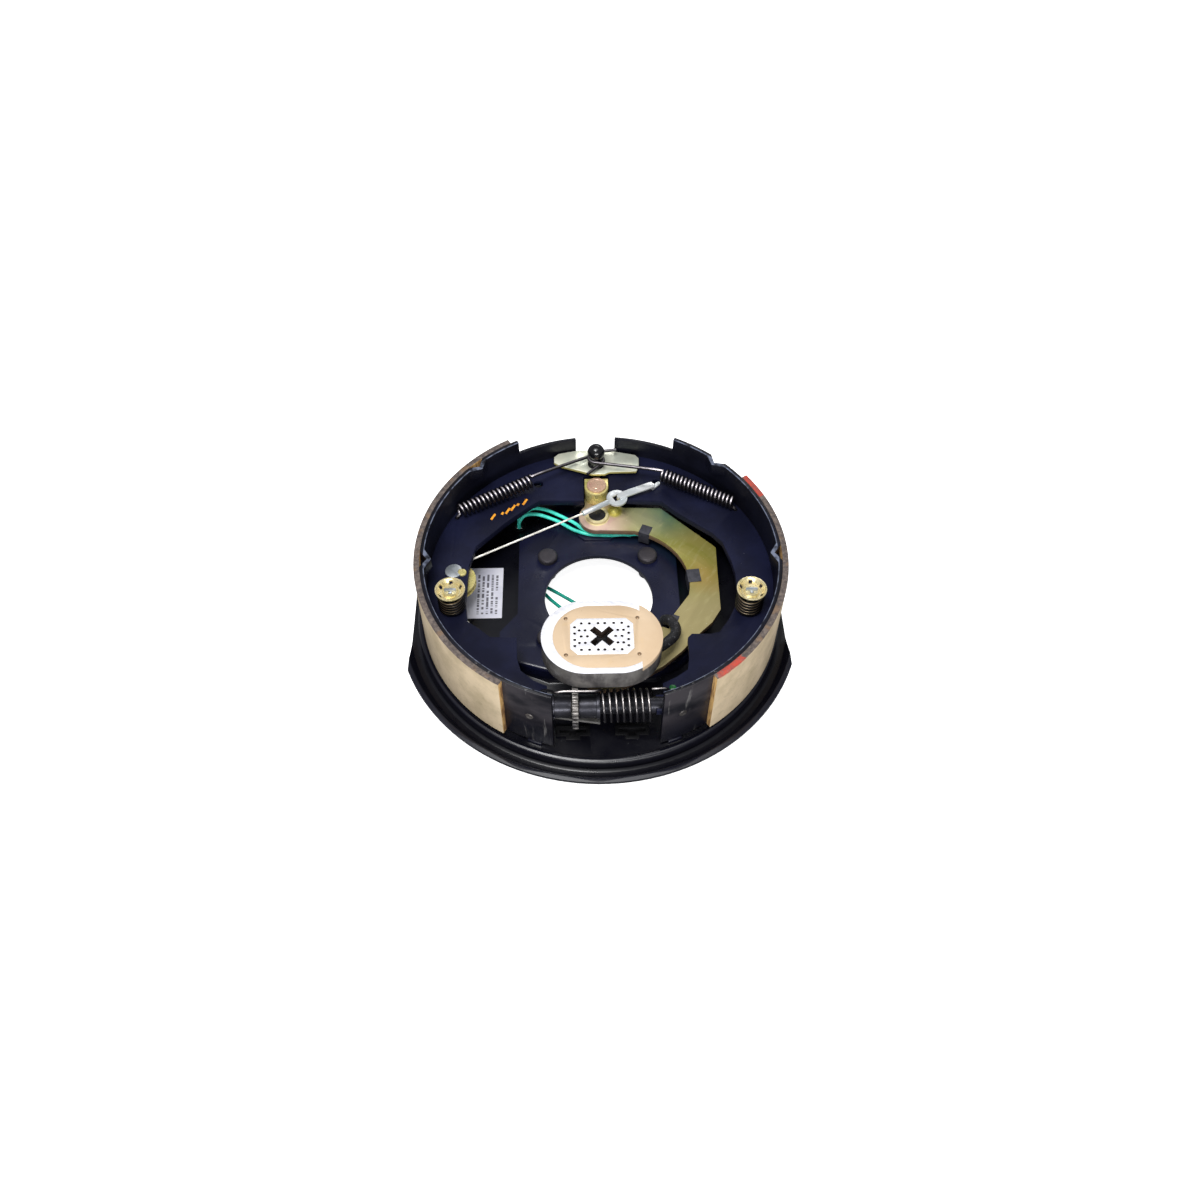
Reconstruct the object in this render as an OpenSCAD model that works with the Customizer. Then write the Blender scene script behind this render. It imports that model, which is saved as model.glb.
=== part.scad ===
// Electric trailer brake, ten inch drum size, right hand side.
// The origin is the centre of the mounting face on the back of the plate.
// +Z points out of the wheel side, +Y to the anchor post, +X to the primary shoe.

/* [Brake shoes] */
// Outer diameter of the linings
lining_d = 252; // [230:1:260]
// Width of the shoes, the length of a lining along the wheel axis
shoe_w = 57.15; // [50:0.5:62]
// Thickness of the linings
lining_t = 4; // [3:0.25:6]
// Thickness of the shoe tables
table_t = 2.8; // [2:0.2:3.4]
// Thickness of the shoe webs
web_t = 5; // [4:0.25:5.5]
// Height of the lower edge of the shoes over the mounting face
shoe_z = -5; // [-6:0.25:-4]
// Height that the table steps down beside the anchor post
heel_step = 11.6; // [6:0.2:14]
// Depth of the V shaped crimps in the outer edge of the tables
crimp_depth = 5; // [3:0.25:5.5]
// Height of the crimps
crimp_h = 9; // [5:0.5:11]

/* [Backing plate] */
// Width of the rolled lip outside the linings
lip_w = 16.15; // [14:0.25:24]
// Reach of the two straight sides outside the linings
flat_reach = 5.8; // [3:0.2:10]
// Thickness of the pressed sheet
plate_t = 3.5; // [2.5:0.1:4]
// Depth of the floor under the front of the centre pad
pad_h = 11.5; // [9:0.25:13]
// Diameter of the hole for the hub
hub_hole_d = 76.4; // [70:0.5:80]

/* [Mounting studs] */
// Diameter of the circle that the studs stand on
stud_pcd = 102.3; // [98:0.1:106]
// Diameter of a stud
stud_d = 11.1; // [9.5:0.1:12.7]
// Length of a stud behind the mounting face
stud_len = 16; // [12:0.5:36]

/* [Anchor and arm pivot] */
// Distance from the centre of the plate to the anchor post
anchor_y = 105; // [100:0.5:108]
// Diameter of the anchor post where the webs bear on it
anchor_d = 16; // [13:0.1:17]
// Distance from the centre of the plate to the pivot of the arm
pivot_y = 65; // [62:0.5:67]
// Diameter of the pivot pin of the arm
pivot_d = 12.4; // [10:0.1:14]
// Thickness of the actuating arm
arm_t = 4.4; // [3:0.1:5]

/* [Magnet] */
// Length of the magnet
magnet_l = 77; // [70:0.5:79]
// Width of the magnet
magnet_w = 56.2; // [50:0.5:57]
// Height of the magnet
magnet_h = 16; // [13:0.5:18]
// Height of the friction face over the edges of the shoes
magnet_rise = 4.85; // [3:0.25:8]
// Travel of the magnet along its post, kept above the star wheel
magnet_travel = 2.5; // [1:0.25:2.6]
// Diameter of the post that the magnet slides on
magnet_post_d = 10; // [8:0.1:11]

/* [Adjuster] */
// Diameter of the star wheel over its teeth
star_d = 29; // [26:0.5:29]
// Teeth on the star wheel
star_teeth = 26; // [20:1:32]
// Diameter of the screw and of its journal
screw_d = 8; // [6:0.1:8.6]
// Diameter of the long nut
nut_d = 10.6; // [10.4:0.1:12]

/* [Springs and holds] */
// Wire diameter of the return springs
return_wire_d = 2.4; // [1.8:0.1:2.6]
// Outer diameter of the return springs
return_coil_d = 10.4; // [9:0.1:11]
// Outer diameter of the cups on the hold-down springs
cup_d = 20; // [19:0.2:22]
// Outer diameter of the hold-down springs
hold_coil_d = 18.6; // [16:0.2:18.8]

/* [Fits] */
// Radial running clearance of pins in their holes
run_fit = 0.05; // [0.02:0.01:0.09]
// Gap between pieces that only lie beside each other
gap = 0.3; // [0.2:0.05:0.5]

/* [Hidden] */
$fn = 96;
eps = 0.01;

// Levels over the mounting face
pad_top = plate_t;
floor_top = pad_top - pad_h;
floor_low = floor_top - plate_t;
shoe_top = shoe_z + shoe_w;
web_low = shoe_z + shoe_w / 2 - web_t / 2;
web_top = web_low + web_t;
heel_top = shoe_top - heel_step;
heel_low = shoe_z + heel_step;
axis_z = (web_low + web_top) / 2;

// The shoes rest a little off the centre of the plate, as they lie when no drum holds them
shoe_x = 1.3;
shoe_y = 1.7;
lining_r = lining_d / 2;
table_r = lining_r - lining_t;
rim_r = table_r - table_t;

// Angles of the shoe ends around the centre of the shoes, anticlockwise from +X
primary_heel = 83.7;
primary_step = 62.2;
primary_toe = -72.8;
primary_lining_a = [-56.7, 33.1];
primary_crimps = [44.3, -1.8];
secondary_heel = 97.5;
secondary_step = 118.8;
secondary_toe = 254;
secondary_lining_a = [121.3, 238.3];
secondary_crimps = [136.6, 182.5];
crimp_half_a = 3.8;

// Places of the pins and holes in the webs
pivot_x = 0.3;
anchor_x = 0.3;
anchor_r = anchor_d / 2;
stud_grip = 0.25;
bead_drop = 6.2;
hold_right = [100.6, -28.5];
hold_left = [-99.6, -24.5];
hold_hole_r = 6;
spare_hole_right = [44.6, 88.8];
spare_hole_left = [-42.6, 89];
spare_hole_r = 3.5;
guide_at = [-100.5, 5.8];
guide_pin_r = 3;
lug_at = [-94.6, 5];
lug_r = 2.9;
adjuster_y = -103.5;
tail_hole_right = [42.5, -95];
tail_hole_left = [-39.5, -94.5];
tail_hole_r = 1.6;
lever_at = [-45, -97];
lever_pin_r = 2.4;

// Arm, block and anchor plate
arm_low = 11.6;
arm_top = arm_low + arm_t;
pivot_r = pivot_d / 2;
collar_r = pivot_r + 2.1;
collar_h = 2.5;
block_at = [0.2, 84.8];
block_r = 8.8;
block_top = web_top + 1.5;
block_end_y = 92.5;
rivet_r = 3.5;
rivet_head_r = 7.1;
rivet_head_h = 2;
boss_h = 2;
sink = 1;
anchor_plate_low = block_top + 0.7;
anchor_plate_t = 2.5;
anchor_plate_top = anchor_plate_low + anchor_plate_t;
anchor_tip_r = 6;
neck_r = 4.2;
ball_r = 6.3;
ball_z = anchor_plate_top + 11.7;

// Return springs
wire_r = return_wire_d / 2;
coil_r = (return_coil_d - return_wire_d) / 2;
hook_r = neck_r + wire_r + 0.2;
hook_z_left = anchor_plate_top + wire_r + 2.4;
hook_z_right = hook_z_left + 2 * wire_r + 0.4;
spring_low_z = web_top + return_coil_d / 2 + 0.9;
spring_high_z = spring_low_z + 2.3;
spring_a_right = [98.6, 62.2];
spring_b_right = [49, 88.8];
spring_a_left = [-98.8, 57.7];
spring_b_left = [-47, 84.6];
spring_hole_right = [100.7, 61.1];
spring_hole_left = [-100.9, 56.6];
spring_hole_r = wire_r + 0.5;
return_turns_right = 18.5;
return_turns_left = 17.5;

// Hold-downs
hold_wire_r = 1.1;
hold_coil_r = hold_coil_d / 2 - hold_wire_r;
hold_turns = 5;
hold_pin_r = 2.3;
hold_pin_hole_r = 3;
cup_r = cup_d / 2;
cup_z_right = web_top + 20.9;
cup_z_left = web_top + 19.7;
cup_t = 0.9;

// Adjuster
screw_r = screw_d / 2;
nut_r = nut_d / 2;
socket_r = 7.2;
socket_x0 = -40;
socket_x1 = -20.2;
star_x0 = -19.6;
star_t = 3.8;
barrel_r = 7.6;
barrel_x0 = star_x0 + star_t + 0.4;
barrel_x1 = -4.3;
nut_flange_r = 8.6;
nut_flange_t = 2.3;
nut_x1 = 42;
slot_h = web_t + 0.3;
socket_slot_x = -31;
nut_slot_x = 33.5;
tongue_left_x = socket_slot_x - gap;
tongue_right_x = nut_slot_x + gap;
tongue_half = 6;
screw_x1 = 22;
adjuster_wire_r = 0.9;
adjuster_coil_r = 10.1;
adjuster_turns = 8;
lever_top = axis_z - star_d / 2 - gap;
lever_t = 2;
lever_low = lever_top - lever_t;

// Cable
cable_r = 0.75;
eyelet_at = [14.8, 70.5];
eyelet_r = 7.6;
eyelet_t = 1.6;
eyelet_low = web_top + 2.6;
eyelet_top = eyelet_low + eyelet_t;
eyelet_mid = (eyelet_low + eyelet_top) / 2;
eyelet_hole_w = 5.6;
hook_strip_end = [41.7, 82.6];
hook_tip = [46, 87.2];
crimp_r = 2;
crimp_end = [-10.2, 56];
groove_r = 12;
flange_r = 14.6;
groove_w = 3.6;
flange_t = 1;
groove_z = 15.5;
lever_hook = [-50, -80.4];
lever_hook_r = 2;
lever_hook_z = lever_top + 2.6;
loop_r = 3;

// Magnet
magnet_x = -0.2;
magnet_y = -73;
magnet_z = shoe_top + magnet_rise;
magnet_low = magnet_z - magnet_h;
magnet_post_r = magnet_post_d / 2;
core_l = 40;
core_w = 27.9;
core_chamfer = 4.5;
wall = 4;
cavity_shift = 3.4;
floor_t = 2.5;
face_t = 4;
face_zone_l = 14;
cross_depth = 7;
cross_arm = 8.7;
cross_w = 4.6;
cross_floor_t = 1.6;
tip_r = 3.1;
retainer_t = 0.8;
perforation_r = 0.95;

// Leads and their routes. The points are chosen by hand.
lead_r = 1.3;
lead_sides = 8;
grommet_at = [-58.3, 77.2];
grommet_bore = 3;
grommet_neck = 4.2;
grommet_flange = 5.6;
lead_spread = 1.36;
lead_join_z = floor_top - 2;
ground_z = floor_low - bead_drop + lead_r;
sleeve_r = 3.6;
upper_lead_route = [
  [-58.3, 77.2 + lead_spread, lead_join_z], [-58.3, 77.2 + lead_spread, -4], [-57.9, 79.1, 0],
  [-56.2, 79.6, 3.4], [-51.8, 79.9, 6.4], [-48.5, 81, 8.2], [-43.8, 79.8, 9.6], [-39.1, 78.3, 10.1],
  [-34.5, 76.3, 10.1], [-29.8, 73.4, 10.1], [-25.2, 70.5, 10.1], [-21.5, 67.9, 10.1], [-17.8, 65.4, 10.1],
  [-14.2, 62.3, 10.1], [-11.9, 59.8, 10.1], [-9, 57.6, 10.1], [-4.6, 55.7, 10.1], [0.8, 55.1, 10.1],
  [7, 55.2, 10.1], [13, 55.6, 10.1], [19, 55.9, 10.1], [24.6, 55.7, 10.1], [29.7, 55.7, 10.1],
  [38.9, 53, 10.1], [47.2, 48.1, 10.1], [54.6, 41.6, 10.1], [60.6, 34.1, 10.1], [65.4, 25.6, 10.1],
  [68.5, 16.5, 10.1], [70, 6.8, 10.1], [69.3, -2.8, 10.1], [66.4, -9.6, 9.6], [64, -14.4, 9], [61.4, -18, 8.2],
  [59.2, -20.9, 7.7]
];
lower_lead_route = [
  [-58.3, 77.2 - lead_spread, lead_join_z], [-58.3, 77.2 - lead_spread, -4], [-57.4, 75.9, 0],
  [-55.6, 76.5, 3], [-53.2, 77.2, 5], [-49.9, 76.9, 6.3], [-45.7, 76, 7.3], [-41.5, 74.8, 7.6],
  [-36.8, 72.7, 7.6], [-32.2, 70.4, 7.6], [-27.5, 67.6, 7.6], [-23, 64.2, 7.5], [-18.4, 60.7, 7.5],
  [-13.8, 58.2, 7.5], [-9.2, 56.3, 7.5], [-4.7, 55, 7.5], [2.2, 54.4, 7.5], [11, 54, 7.5],
  [18.4, 54.5, 7.5], [24, 53.9, 7.9], [28.9, 53.2, 9.3], [37.6, 50.4, 10], [45.5, 45.7, 10],
  [52.4, 39.7, 10], [58.2, 32.5, 10], [62.6, 24.4, 10], [65.7, 15.8, 10], [67.1, 6.7, 10],
  [66.6, -2.5, 9.6], [64.1, -8.6, 8.1], [61.5, -13.4, 7.8], [59.2, -16.7, 7.7], [57.1, -19.5, 7.7]
];
sleeve_route = [
  [57.4, -21.2, 7.6], [55.4, -23.5, 7.6], [52.4, -25.4, 7.6], [49, -26.6, 7.7], [46.4, -27.4, 8.7],
  [44.6, -28.6, 11.4], [44.1, -30, 14.8], [44.7, -32, 18.2], [47, -34.6, 20.9],
  [49.4, -38.4, 21.8], [50.4, -42.9, 23.2], [50, -47.8, 25.4], [48.4, -52.9, 28], [45.4, -57.6, 30.4],
  [42, -61.8, 32.2], [38.4, -65.2, 33.4], [34.8, -67.6, 34], [31.4, -68.8, 34.6], [28.6, -69.4, 36.4],
  [27.2, -69.8, 38.8], [27, -69.8, 40.6]
];
free_upper_route = [
  [-58.3, 77.2 + lead_spread, lead_join_z - 0.3], [-58.1, 78.6, -12.8], [-57, 77.6, -15.2],
  [-55.6, 74, ground_z], [-53, 64, ground_z], [-51, 54, ground_z], [-50.4, 44, ground_z],
  [-48.6, 35.6, ground_z], [-44, 29.6, ground_z], [-37.7, 25.2, ground_z], [-31.4, 20.9, ground_z],
  [-25.6, 16.7, ground_z], [-19.8, 12.4, ground_z], [-11.1, 5.4, ground_z], [-3.2, -1.7, ground_z],
  [5.7, -9.1, ground_z], [14.6, -16.6, ground_z], [23.5, -23.2, ground_z], [32.5, -26.4, ground_z],
  [42.8, -27.4, ground_z], [54.1, -27.8, ground_z], [65.9, -28.4, ground_z]
];
free_lower_route = [
  [-58.3, 77.2 - lead_spread, lead_join_z - 0.3], [-58.6, 75.7, -12.9], [-60.4, 74.2, -15],
  [-60.6, 70, ground_z], [-59, 61, ground_z], [-57, 51, ground_z], [-54.8, 41, ground_z],
  [-50.6, 31, ground_z], [-44.4, 24, ground_z], [-38.6, 18.5, ground_z], [-35.4, 14.5, ground_z],
  [-31.8, 10.6, ground_z], [-28.2, 6.9, ground_z], [-20.6, -0.6, ground_z], [-12.1, -8.5, ground_z],
  [-3.2, -15.9, ground_z], [5.7, -23.6, ground_z], [13.2, -32.2, ground_z], [18.9, -42.1, ground_z],
  [23.5, -52.6, ground_z], [28.4, -62.8, ground_z], [34.7, -72.3, ground_z]
];

// A vector of length one
function unit(v) = v / norm(v);

// Direction of a route at each of its points
function directions(p) = [
  for (i = [0 : len(p) - 1]) unit(p[min(i + 1, len(p) - 1)] - p[max(i - 1, 0)])
];

// A direction across t that is as near to n as it can be
function across(n, t) = unit(n - (n * t) * t);

// Side directions carried along a route without twist
function sides_along(t, seed) = [
  for (i = 0, n = across(seed, t[0]); i < len(t); i = i + 1, n = i < len(t) ? across(n, t[i]) : n) n
];

// A round wire or tube that follows the points of a route
module wire_along(p, r, sides = 6, seed = [0.1, 0.2, 1]) {
  t = directions(p);
  n = sides_along(t, seed);
  last = len(p) - 1;
  points = [
    for (i = [0 : last]) for (k = [0 : sides - 1])
      p[i] + r * (cos(360 * k / sides) * n[i] + sin(360 * k / sides) * cross(t[i], n[i]))
  ];
  skin = [
    for (i = [0 : last - 1]) for (k = [0 : sides - 1]) each [
      [i * sides + k, (i + 1) * sides + k, i * sides + (k + 1) % sides],
      [(i + 1) * sides + k, (i + 1) * sides + (k + 1) % sides, i * sides + (k + 1) % sides]
    ]
  ];
  first_cap = [for (k = [1 : sides - 2]) [0, k, k + 1]];
  last_cap = [for (k = [1 : sides - 2]) [last * sides, last * sides + k + 1, last * sides + k]];
  polyhedron(points = points, faces = concat(first_cap, skin, last_cap), convexity = 10);
}

// Points of a helix from a to b that starts and ends at the angle start around its axis
function helix(a, b, r, turns, per_turn, up = [0, 0, 1], start = 90) =
  let (u = unit(b - a), v = unit(cross(up, u)), w = cross(u, v), count = turns * per_turn)
  [for (i = [0 : count]) a + (b - a) * i / count
    + r * (cos(start + 360 * i / per_turn) * v + sin(start + 360 * i / per_turn) * w)];

// Points on a circle in a plane of constant height
function arc(c, r, z, a0, a1, steps) = [
  for (p = bend(c, r, a0, a1, steps)) [p[0], p[1], z]
];

// Points on a circle in the plan
function bend(c, r, a0, a1, steps) = [
  for (i = [0 : steps])
    let (a = a0 + (a1 - a0) * i / steps)
    [c[0] + r * cos(a), c[1] + r * sin(a)]
];

// An anticlockwise outline drawn in by d on all its sides
function drawn_in(p, d) = [
  for (i = [0 : len(p) - 1])
    let (
      before = unit(p[i] - p[(i + len(p) - 1) % len(p)]),
      after = unit(p[(i + 1) % len(p)] - p[i]),
      n0 = [-before[1], before[0]],
      n1 = [-after[1], after[0]]
    )
    p[i] + d * (n0 + n1) / (1 + n0 * n1)
];

// A point at a distance and an angle from the centre of the shoes
function shoe_point(r, a) = [shoe_x + r * cos(a), shoe_y + r * sin(a)];

// A sector of a ring around the centre of the shoes
module shoe_ring(r0, r1, a0, a1, z0, z1) {
  translate([shoe_x, shoe_y, z0])
    rotate([0, 0, a0])
      rotate_extrude(angle = a1 - a0, $fn = 180)
        translate([r0, 0])
          square([r1 - r0, z1 - z0]);
}

// A stadium: a rectangle with half round ends along X
module stadium(l, w, z0, z1) {
  r = w / 2;
  reach = l / 2 - r;
  translate([-reach, -r, z0])
    cube([2 * reach, w, z1 - z0]);
  for (side = [-1, 1])
    translate([side * reach, 0, z0])
      cylinder(r = r, h = z1 - z0);
}

// A cylinder along X at the height of the adjuster
module x_rod(r, x0, x1) {
  translate([x0, adjuster_y, axis_z])
    rotate([0, 90, 0])
      cylinder(r = r, h = x1 - x0);
}

// A cylinder at a place of the plan
module post(at, r, z0, z1) {
  translate([at[0], at[1], z0])
    cylinder(r = r, h = z1 - z0);
}

// The end of a pin, upset into a countersink and flush with the mounting face
module upset_end(at, r) {
  translate([at[0], at[1], 0])
    cylinder(r1 = r + sink, r2 = r, h = sink);
}

// Outline of the raised centre pad
pad_outline = [
  [-57, -14], [-69, -29.5], [-69, -42], [-55.5, -56], [-36, -62.6], [38, -62.6], [53.5, -56], [69, -42],
  [69, -29.5], [57, -14], [57, 52], [49, 60], [30, 66], [30, 120], [-30, 120], [-30, 66], [-49, 60],
  [-57, 52]
];

module backing_plate() {
  lip_r = lining_r + lip_w;
  half_w = lining_r + flat_reach;
  bead_r = lining_r - 0.3;
  ledge_half_a = 2.2;
  section = [
    [0, floor_top], [bead_r - 2.4, floor_top], [bead_r - 1.3, floor_top + 1.4],
    [bead_r + 0.2, floor_top + 1.9],
    [bead_r + 1.6, floor_top + 1.4], [bead_r + 2.6, floor_top - 0.2], [bead_r + 3, floor_top - 5.2],
    [bead_r + 4.9, floor_top - 6.2], [bead_r + 8.6, floor_top - 5.4], [lip_r - 3.3, floor_top + 1.7],
    [lip_r, floor_top + 1.7], [lip_r, floor_top - 0.6], [bead_r + 10.9, floor_top - 8.9],
    [bead_r + 3.5, floor_low - bead_drop], [bead_r - 0.6, floor_low - 4.8], [bead_r - 0.8, floor_low],
    [0, floor_low]
  ];
  color([0.07, 0.08, 0.12]) {
    difference() {
      union() {
        intersection() {
          rotate_extrude($fn = 180)
            polygon(section);
          translate([-half_w, -2 * lip_r, -40])
            cube([2 * half_w, 4 * lip_r, 80]);
        }
        translate([0, 0, floor_low])
          linear_extrude(pad_top - floor_low)
            polygon(pad_outline);
        translate([0, 0, floor_top - eps])
          linear_extrude(pad_top + boss_h - floor_top + eps)
            polygon([[-9, 51.5], [9.5, 51.5], [14.5, 56], [14.5, 84], [-14, 84], [-14, 56]]);
        for (a = [-112, -68, 0, 52, 128, 180])
          shoe_ring(rim_r - 1, table_r + 1, a - ledge_half_a, a + ledge_half_a, floor_top - eps,
                    shoe_z - 0.15);
      }
      translate([0, 0, floor_low - 1])
        linear_extrude(1 - floor_low)
          polygon(drawn_in(pad_outline, plate_t));
      cylinder(r = hub_hole_d / 2, h = 200, center = true, $fn = 180);
      for (a = [45, 135, 225, 315])
        rotate([0, 0, a])
          post([stud_pcd / 2, 0], stud_d / 2 + stud_grip, -50, 50);
      post([anchor_x, anchor_y], anchor_r, -50, 50);
      upset_end([anchor_x, anchor_y], anchor_r);
      post([pivot_x, pivot_y], pivot_r, -50, 50);
      upset_end([pivot_x, pivot_y], pivot_r);
      post(hold_right, hold_pin_hole_r, -50, 50);
      post(hold_left, hold_pin_hole_r, -50, 50);
      post(grommet_at, grommet_neck, -50, 50);
      for (side = [-1, 1])
        slot_block(side, 0, -50, 50);
    }
  }
}

module mounting_studs() {
  head_r = 7;
  head_h = 3;
  color([0.2, 0.17, 0.15])
    for (a = [45, 135, 225, 315])
      rotate([0, 0, a])
        translate([stud_pcd / 2, 0, 0]) {
          translate([0, 0, pad_top])
            cylinder(r = head_r, h = head_h);
          translate([0, 0, pad_top + head_h])
            cylinder(r1 = head_r, r2 = head_r - 1, h = 1);
          cylinder(r = stud_d / 2 + stud_grip, h = pad_top + eps);
          translate([0, 0, -stud_len + 1])
            cylinder(r = stud_d / 2, h = stud_len - 1 + eps);
          translate([0, 0, -stud_len])
            cylinder(r1 = stud_d / 2 - 1, r2 = stud_d / 2, h = 1);
        }
}

module anchor_post() {
  at = [anchor_x, anchor_y];
  flange_h = 5.5;
  cone_h = 0.7;
  color([0.05, 0.05, 0.06]) {
    upset_end(at, anchor_r);
    post(at, anchor_r, 0, anchor_plate_low);
    post(at, anchor_r + 4, pad_top, pad_top + flange_h);
    post(at, anchor_tip_r, anchor_plate_low - eps, anchor_plate_top);
    translate([at[0], at[1], anchor_plate_top])
      cylinder(r1 = anchor_tip_r, r2 = neck_r, h = cone_h);
    post(at, neck_r, anchor_plate_top, ball_z);
    translate([at[0], at[1], ball_z])
      sphere(r = ball_r);
  }
}

module anchor_plate() {
  outline = [
    [-31, 106.5], [-31, 112.4], [-27.6, 115.8], [-13.6, 119.2], [6.4, 119.6], [30, 113.8], [32.5, 110.3],
    [32.4, 103.5], [30.3, 96.6], [10, 96.2], [6.6, 94.2], [-3, 94.2], [-5.6, 95.4], [-26, 103]
  ];
  color([0.79, 0.77, 0.6])
    difference() {
      translate([0, 0, anchor_plate_low])
        linear_extrude(anchor_plate_t)
          polygon(outline);
      post([anchor_x, anchor_y], anchor_tip_r, -50, 50);
    }
}

module arm_pivot_pin() {
  at = [pivot_x, pivot_y];
  color([0.13, 0.13, 0.14]) {
    upset_end(at, pivot_r);
    post(at, pivot_r, 0, arm_top + collar_h - 0.4);
    post(at, pivot_r + 2, pad_top + boss_h, arm_low - gap);
  }
}

module lead_grommet() {
  flange_t = 1.2;
  color([0.04, 0.04, 0.04])
    difference() {
      union() {
        post(grommet_at, grommet_neck, floor_low - flange_t, floor_top + flange_t);
        post(grommet_at, grommet_flange, floor_low - flange_t, floor_low);
        post(grommet_at, grommet_flange, floor_top, floor_top + flange_t);
      }
      post(grommet_at, grommet_bore, -50, 50);
    }
}

// A block with the outline of an adjuster slot: a bar with a foot in front of it
module slot_block(side, grow, z0, z1) {
  slot_at = [side * 19.4, -103.2];
  slot_l = 20.5 + 2 * grow;
  slot_w = 5.6 + 2 * grow;
  foot_l = 7.4 + 2 * grow;
  foot_h = 3;
  translate([slot_at[0] - slot_l / 2, slot_at[1] - slot_w / 2, z0])
    cube([slot_l, slot_w, z1 - z0]);
  translate([slot_at[0] - foot_l / 2, slot_at[1] - slot_w / 2 - foot_h, z0])
    cube([foot_l, foot_h + 1, z1 - z0]);
}

// Rubber plugs that keep dust out of the adjuster slots
module slot_plugs() {
  flange = 0.9;
  flange_t = 1;
  recess = 1.4;
  color([0.04, 0.04, 0.04])
    for (side = [-1, 1])
      difference() {
        union() {
          slot_block(side, 0, floor_low - flange_t, floor_top + flange_t);
          slot_block(side, flange, floor_top, floor_top + flange_t);
          slot_block(side, flange, floor_low - flange_t, floor_low);
        }
        slot_block(side, -recess, floor_top - 0.6, floor_top + 2 * flange_t);
      }
}

module label() {
  color([0.92, 0.92, 0.94])
    translate([-103, -9, floor_top])
      cube([34, 46, 0.2]);
}

// A shoe table on the right: the curved rim with a narrow heel and two crimps in its outer edge
module table(heel, step, toe, crimps) {
  trim = 1;
  crimp_z = shoe_top - crimp_h;
  inner = rim_r - crimp_depth;
  outer = table_r - crimp_depth;
  color([0.05, 0.055, 0.08])
    difference() {
      union() {
        shoe_ring(rim_r, table_r, toe, heel, shoe_z, shoe_top + trim);
        for (a = crimps)
          translate([0, 0, crimp_z])
            linear_extrude(crimp_h + trim)
              polygon([shoe_point(rim_r + 1, a - crimp_half_a - 1),
                       shoe_point(rim_r + 1, a + crimp_half_a + 1), shoe_point(inner, a)]);
      }
      shoe_ring(inner - 2, table_r + 2, toe - 1, heel + 1, shoe_top, shoe_top + 2 * trim);
      for (a = crimps)
        translate([0, 0, crimp_z + table_t / 2])
          linear_extrude(crimp_h + 2 * trim)
            polygon([shoe_point(table_r + 1, a - crimp_half_a), shoe_point(table_r + 1, a + crimp_half_a),
                     shoe_point(outer, a)]);
      shoe_ring(rim_r - 2, table_r + 2, step, heel + 1, heel_top, shoe_top + 2 * trim);
      shoe_ring(rim_r - 2, table_r + 2, step, heel + 1, shoe_z - 1, heel_low);
    }
}

module primary_table() {
  table(primary_heel, primary_step, primary_toe, primary_crimps);
}

module secondary_table() {
  translate([2 * shoe_x, 0, 0])
    mirror([1, 0, 0])
      table(180 - secondary_heel, 180 - secondary_step, 180 - secondary_toe,
            [for (a = secondary_crimps) 180 - a]);
}

// A shoe web: the flat plate inside a table, with the bearing notch for the anchor post
module web(outline, holes) {
  color([0.08, 0.09, 0.14])
    difference() {
      intersection() {
        translate([shoe_x, shoe_y, web_low])
          cylinder(r = rim_r, h = web_t, $fn = 180);
        translate([0, 0, web_low - 1])
          linear_extrude(web_t + 2)
            polygon(outline);
      }
      post([anchor_x, anchor_y], anchor_r + run_fit, web_low - 1, web_top + 1);
      for (hole = holes)
        post([hole[0], hole[1]], hole[2], web_low - 1, web_top + 1);
    }
}

module primary_web() {
  far = 2 * lining_r;
  outline = [
    [9.5, 78], [14, 73.6], [23, 72.4], [47.3, 70.6], [57.7, 59.2], [81.9, 39.1], [88.4, 30.4], [93.1, 12.7],
    [94.6, 1.2], [94.4, -15], [91.6, -28], [86.3, -38.5], [79.3, -48.6], [73.2, -50.1], [60.5, -49.8],
    [57.7, -52.9], [57.3, -69.3], [55.8, -78.4], [47.9, -84.1], [38.8, -88.9],
    [38.8, adjuster_y + tongue_half], [tongue_right_x, adjuster_y + tongue_half],
    [tongue_right_x, adjuster_y - tongue_half], [38.8, adjuster_y - tongue_half], [38.8, -far], [far, -far],
    [far, far], [12, far], [12, 117.5], [4.1, 113], [4.1, 96.3], [9.5, 96.3]
  ];
  web(outline, [
    [hold_right[0], hold_right[1], hold_hole_r], [spare_hole_right[0], spare_hole_right[1], spare_hole_r],
    [spring_hole_right[0], spring_hole_right[1], spring_hole_r],
    [tail_hole_right[0], tail_hole_right[1], tail_hole_r]
  ]);
}

module secondary_web() {
  far = 2 * lining_r;
  outline = [
    [-9.3, 71.8], [-41.1, 72.6], [-47.2, 68.5], [-66.2, 51.1], [-80.6, 35.3], [-86.3, 28.9], [-90.4, 11],
    [-91, -20], [-89, -36.8], [-81.3, -42.8], [-73.6, -49.9], [-55.9, -50.8], [-55.1, -68.4], [-52.7, -77.2],
    [-44.4, -85], [-35.6, -89.5], [-35.6, adjuster_y + tongue_half],
    [tongue_left_x, adjuster_y + tongue_half],
    [tongue_left_x, adjuster_y - tongue_half], [-35.6, adjuster_y - tongue_half], [-35.6, -far],
    [-far, -far], [-far, far], [-12, far], [-12, 117.5], [-3.5, 113], [-3.5, 96.3], [-9.3, 96.3]
  ];
  web(outline, [
    [hold_left[0], hold_left[1], hold_hole_r], [spare_hole_left[0], spare_hole_left[1], spare_hole_r],
    [spring_hole_left[0], spring_hole_left[1], spring_hole_r], [guide_at[0], guide_at[1], guide_pin_r],
    [lug_at[0], lug_at[1], lug_r], [tail_hole_left[0], tail_hole_left[1], tail_hole_r],
    [lever_at[0], lever_at[1], lever_pin_r]
  ]);
}

module primary_lining() {
  color([0.78, 0.74, 0.64])
    shoe_ring(table_r, lining_r, primary_lining_a[0], primary_lining_a[1], shoe_z, shoe_top);
}

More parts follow.
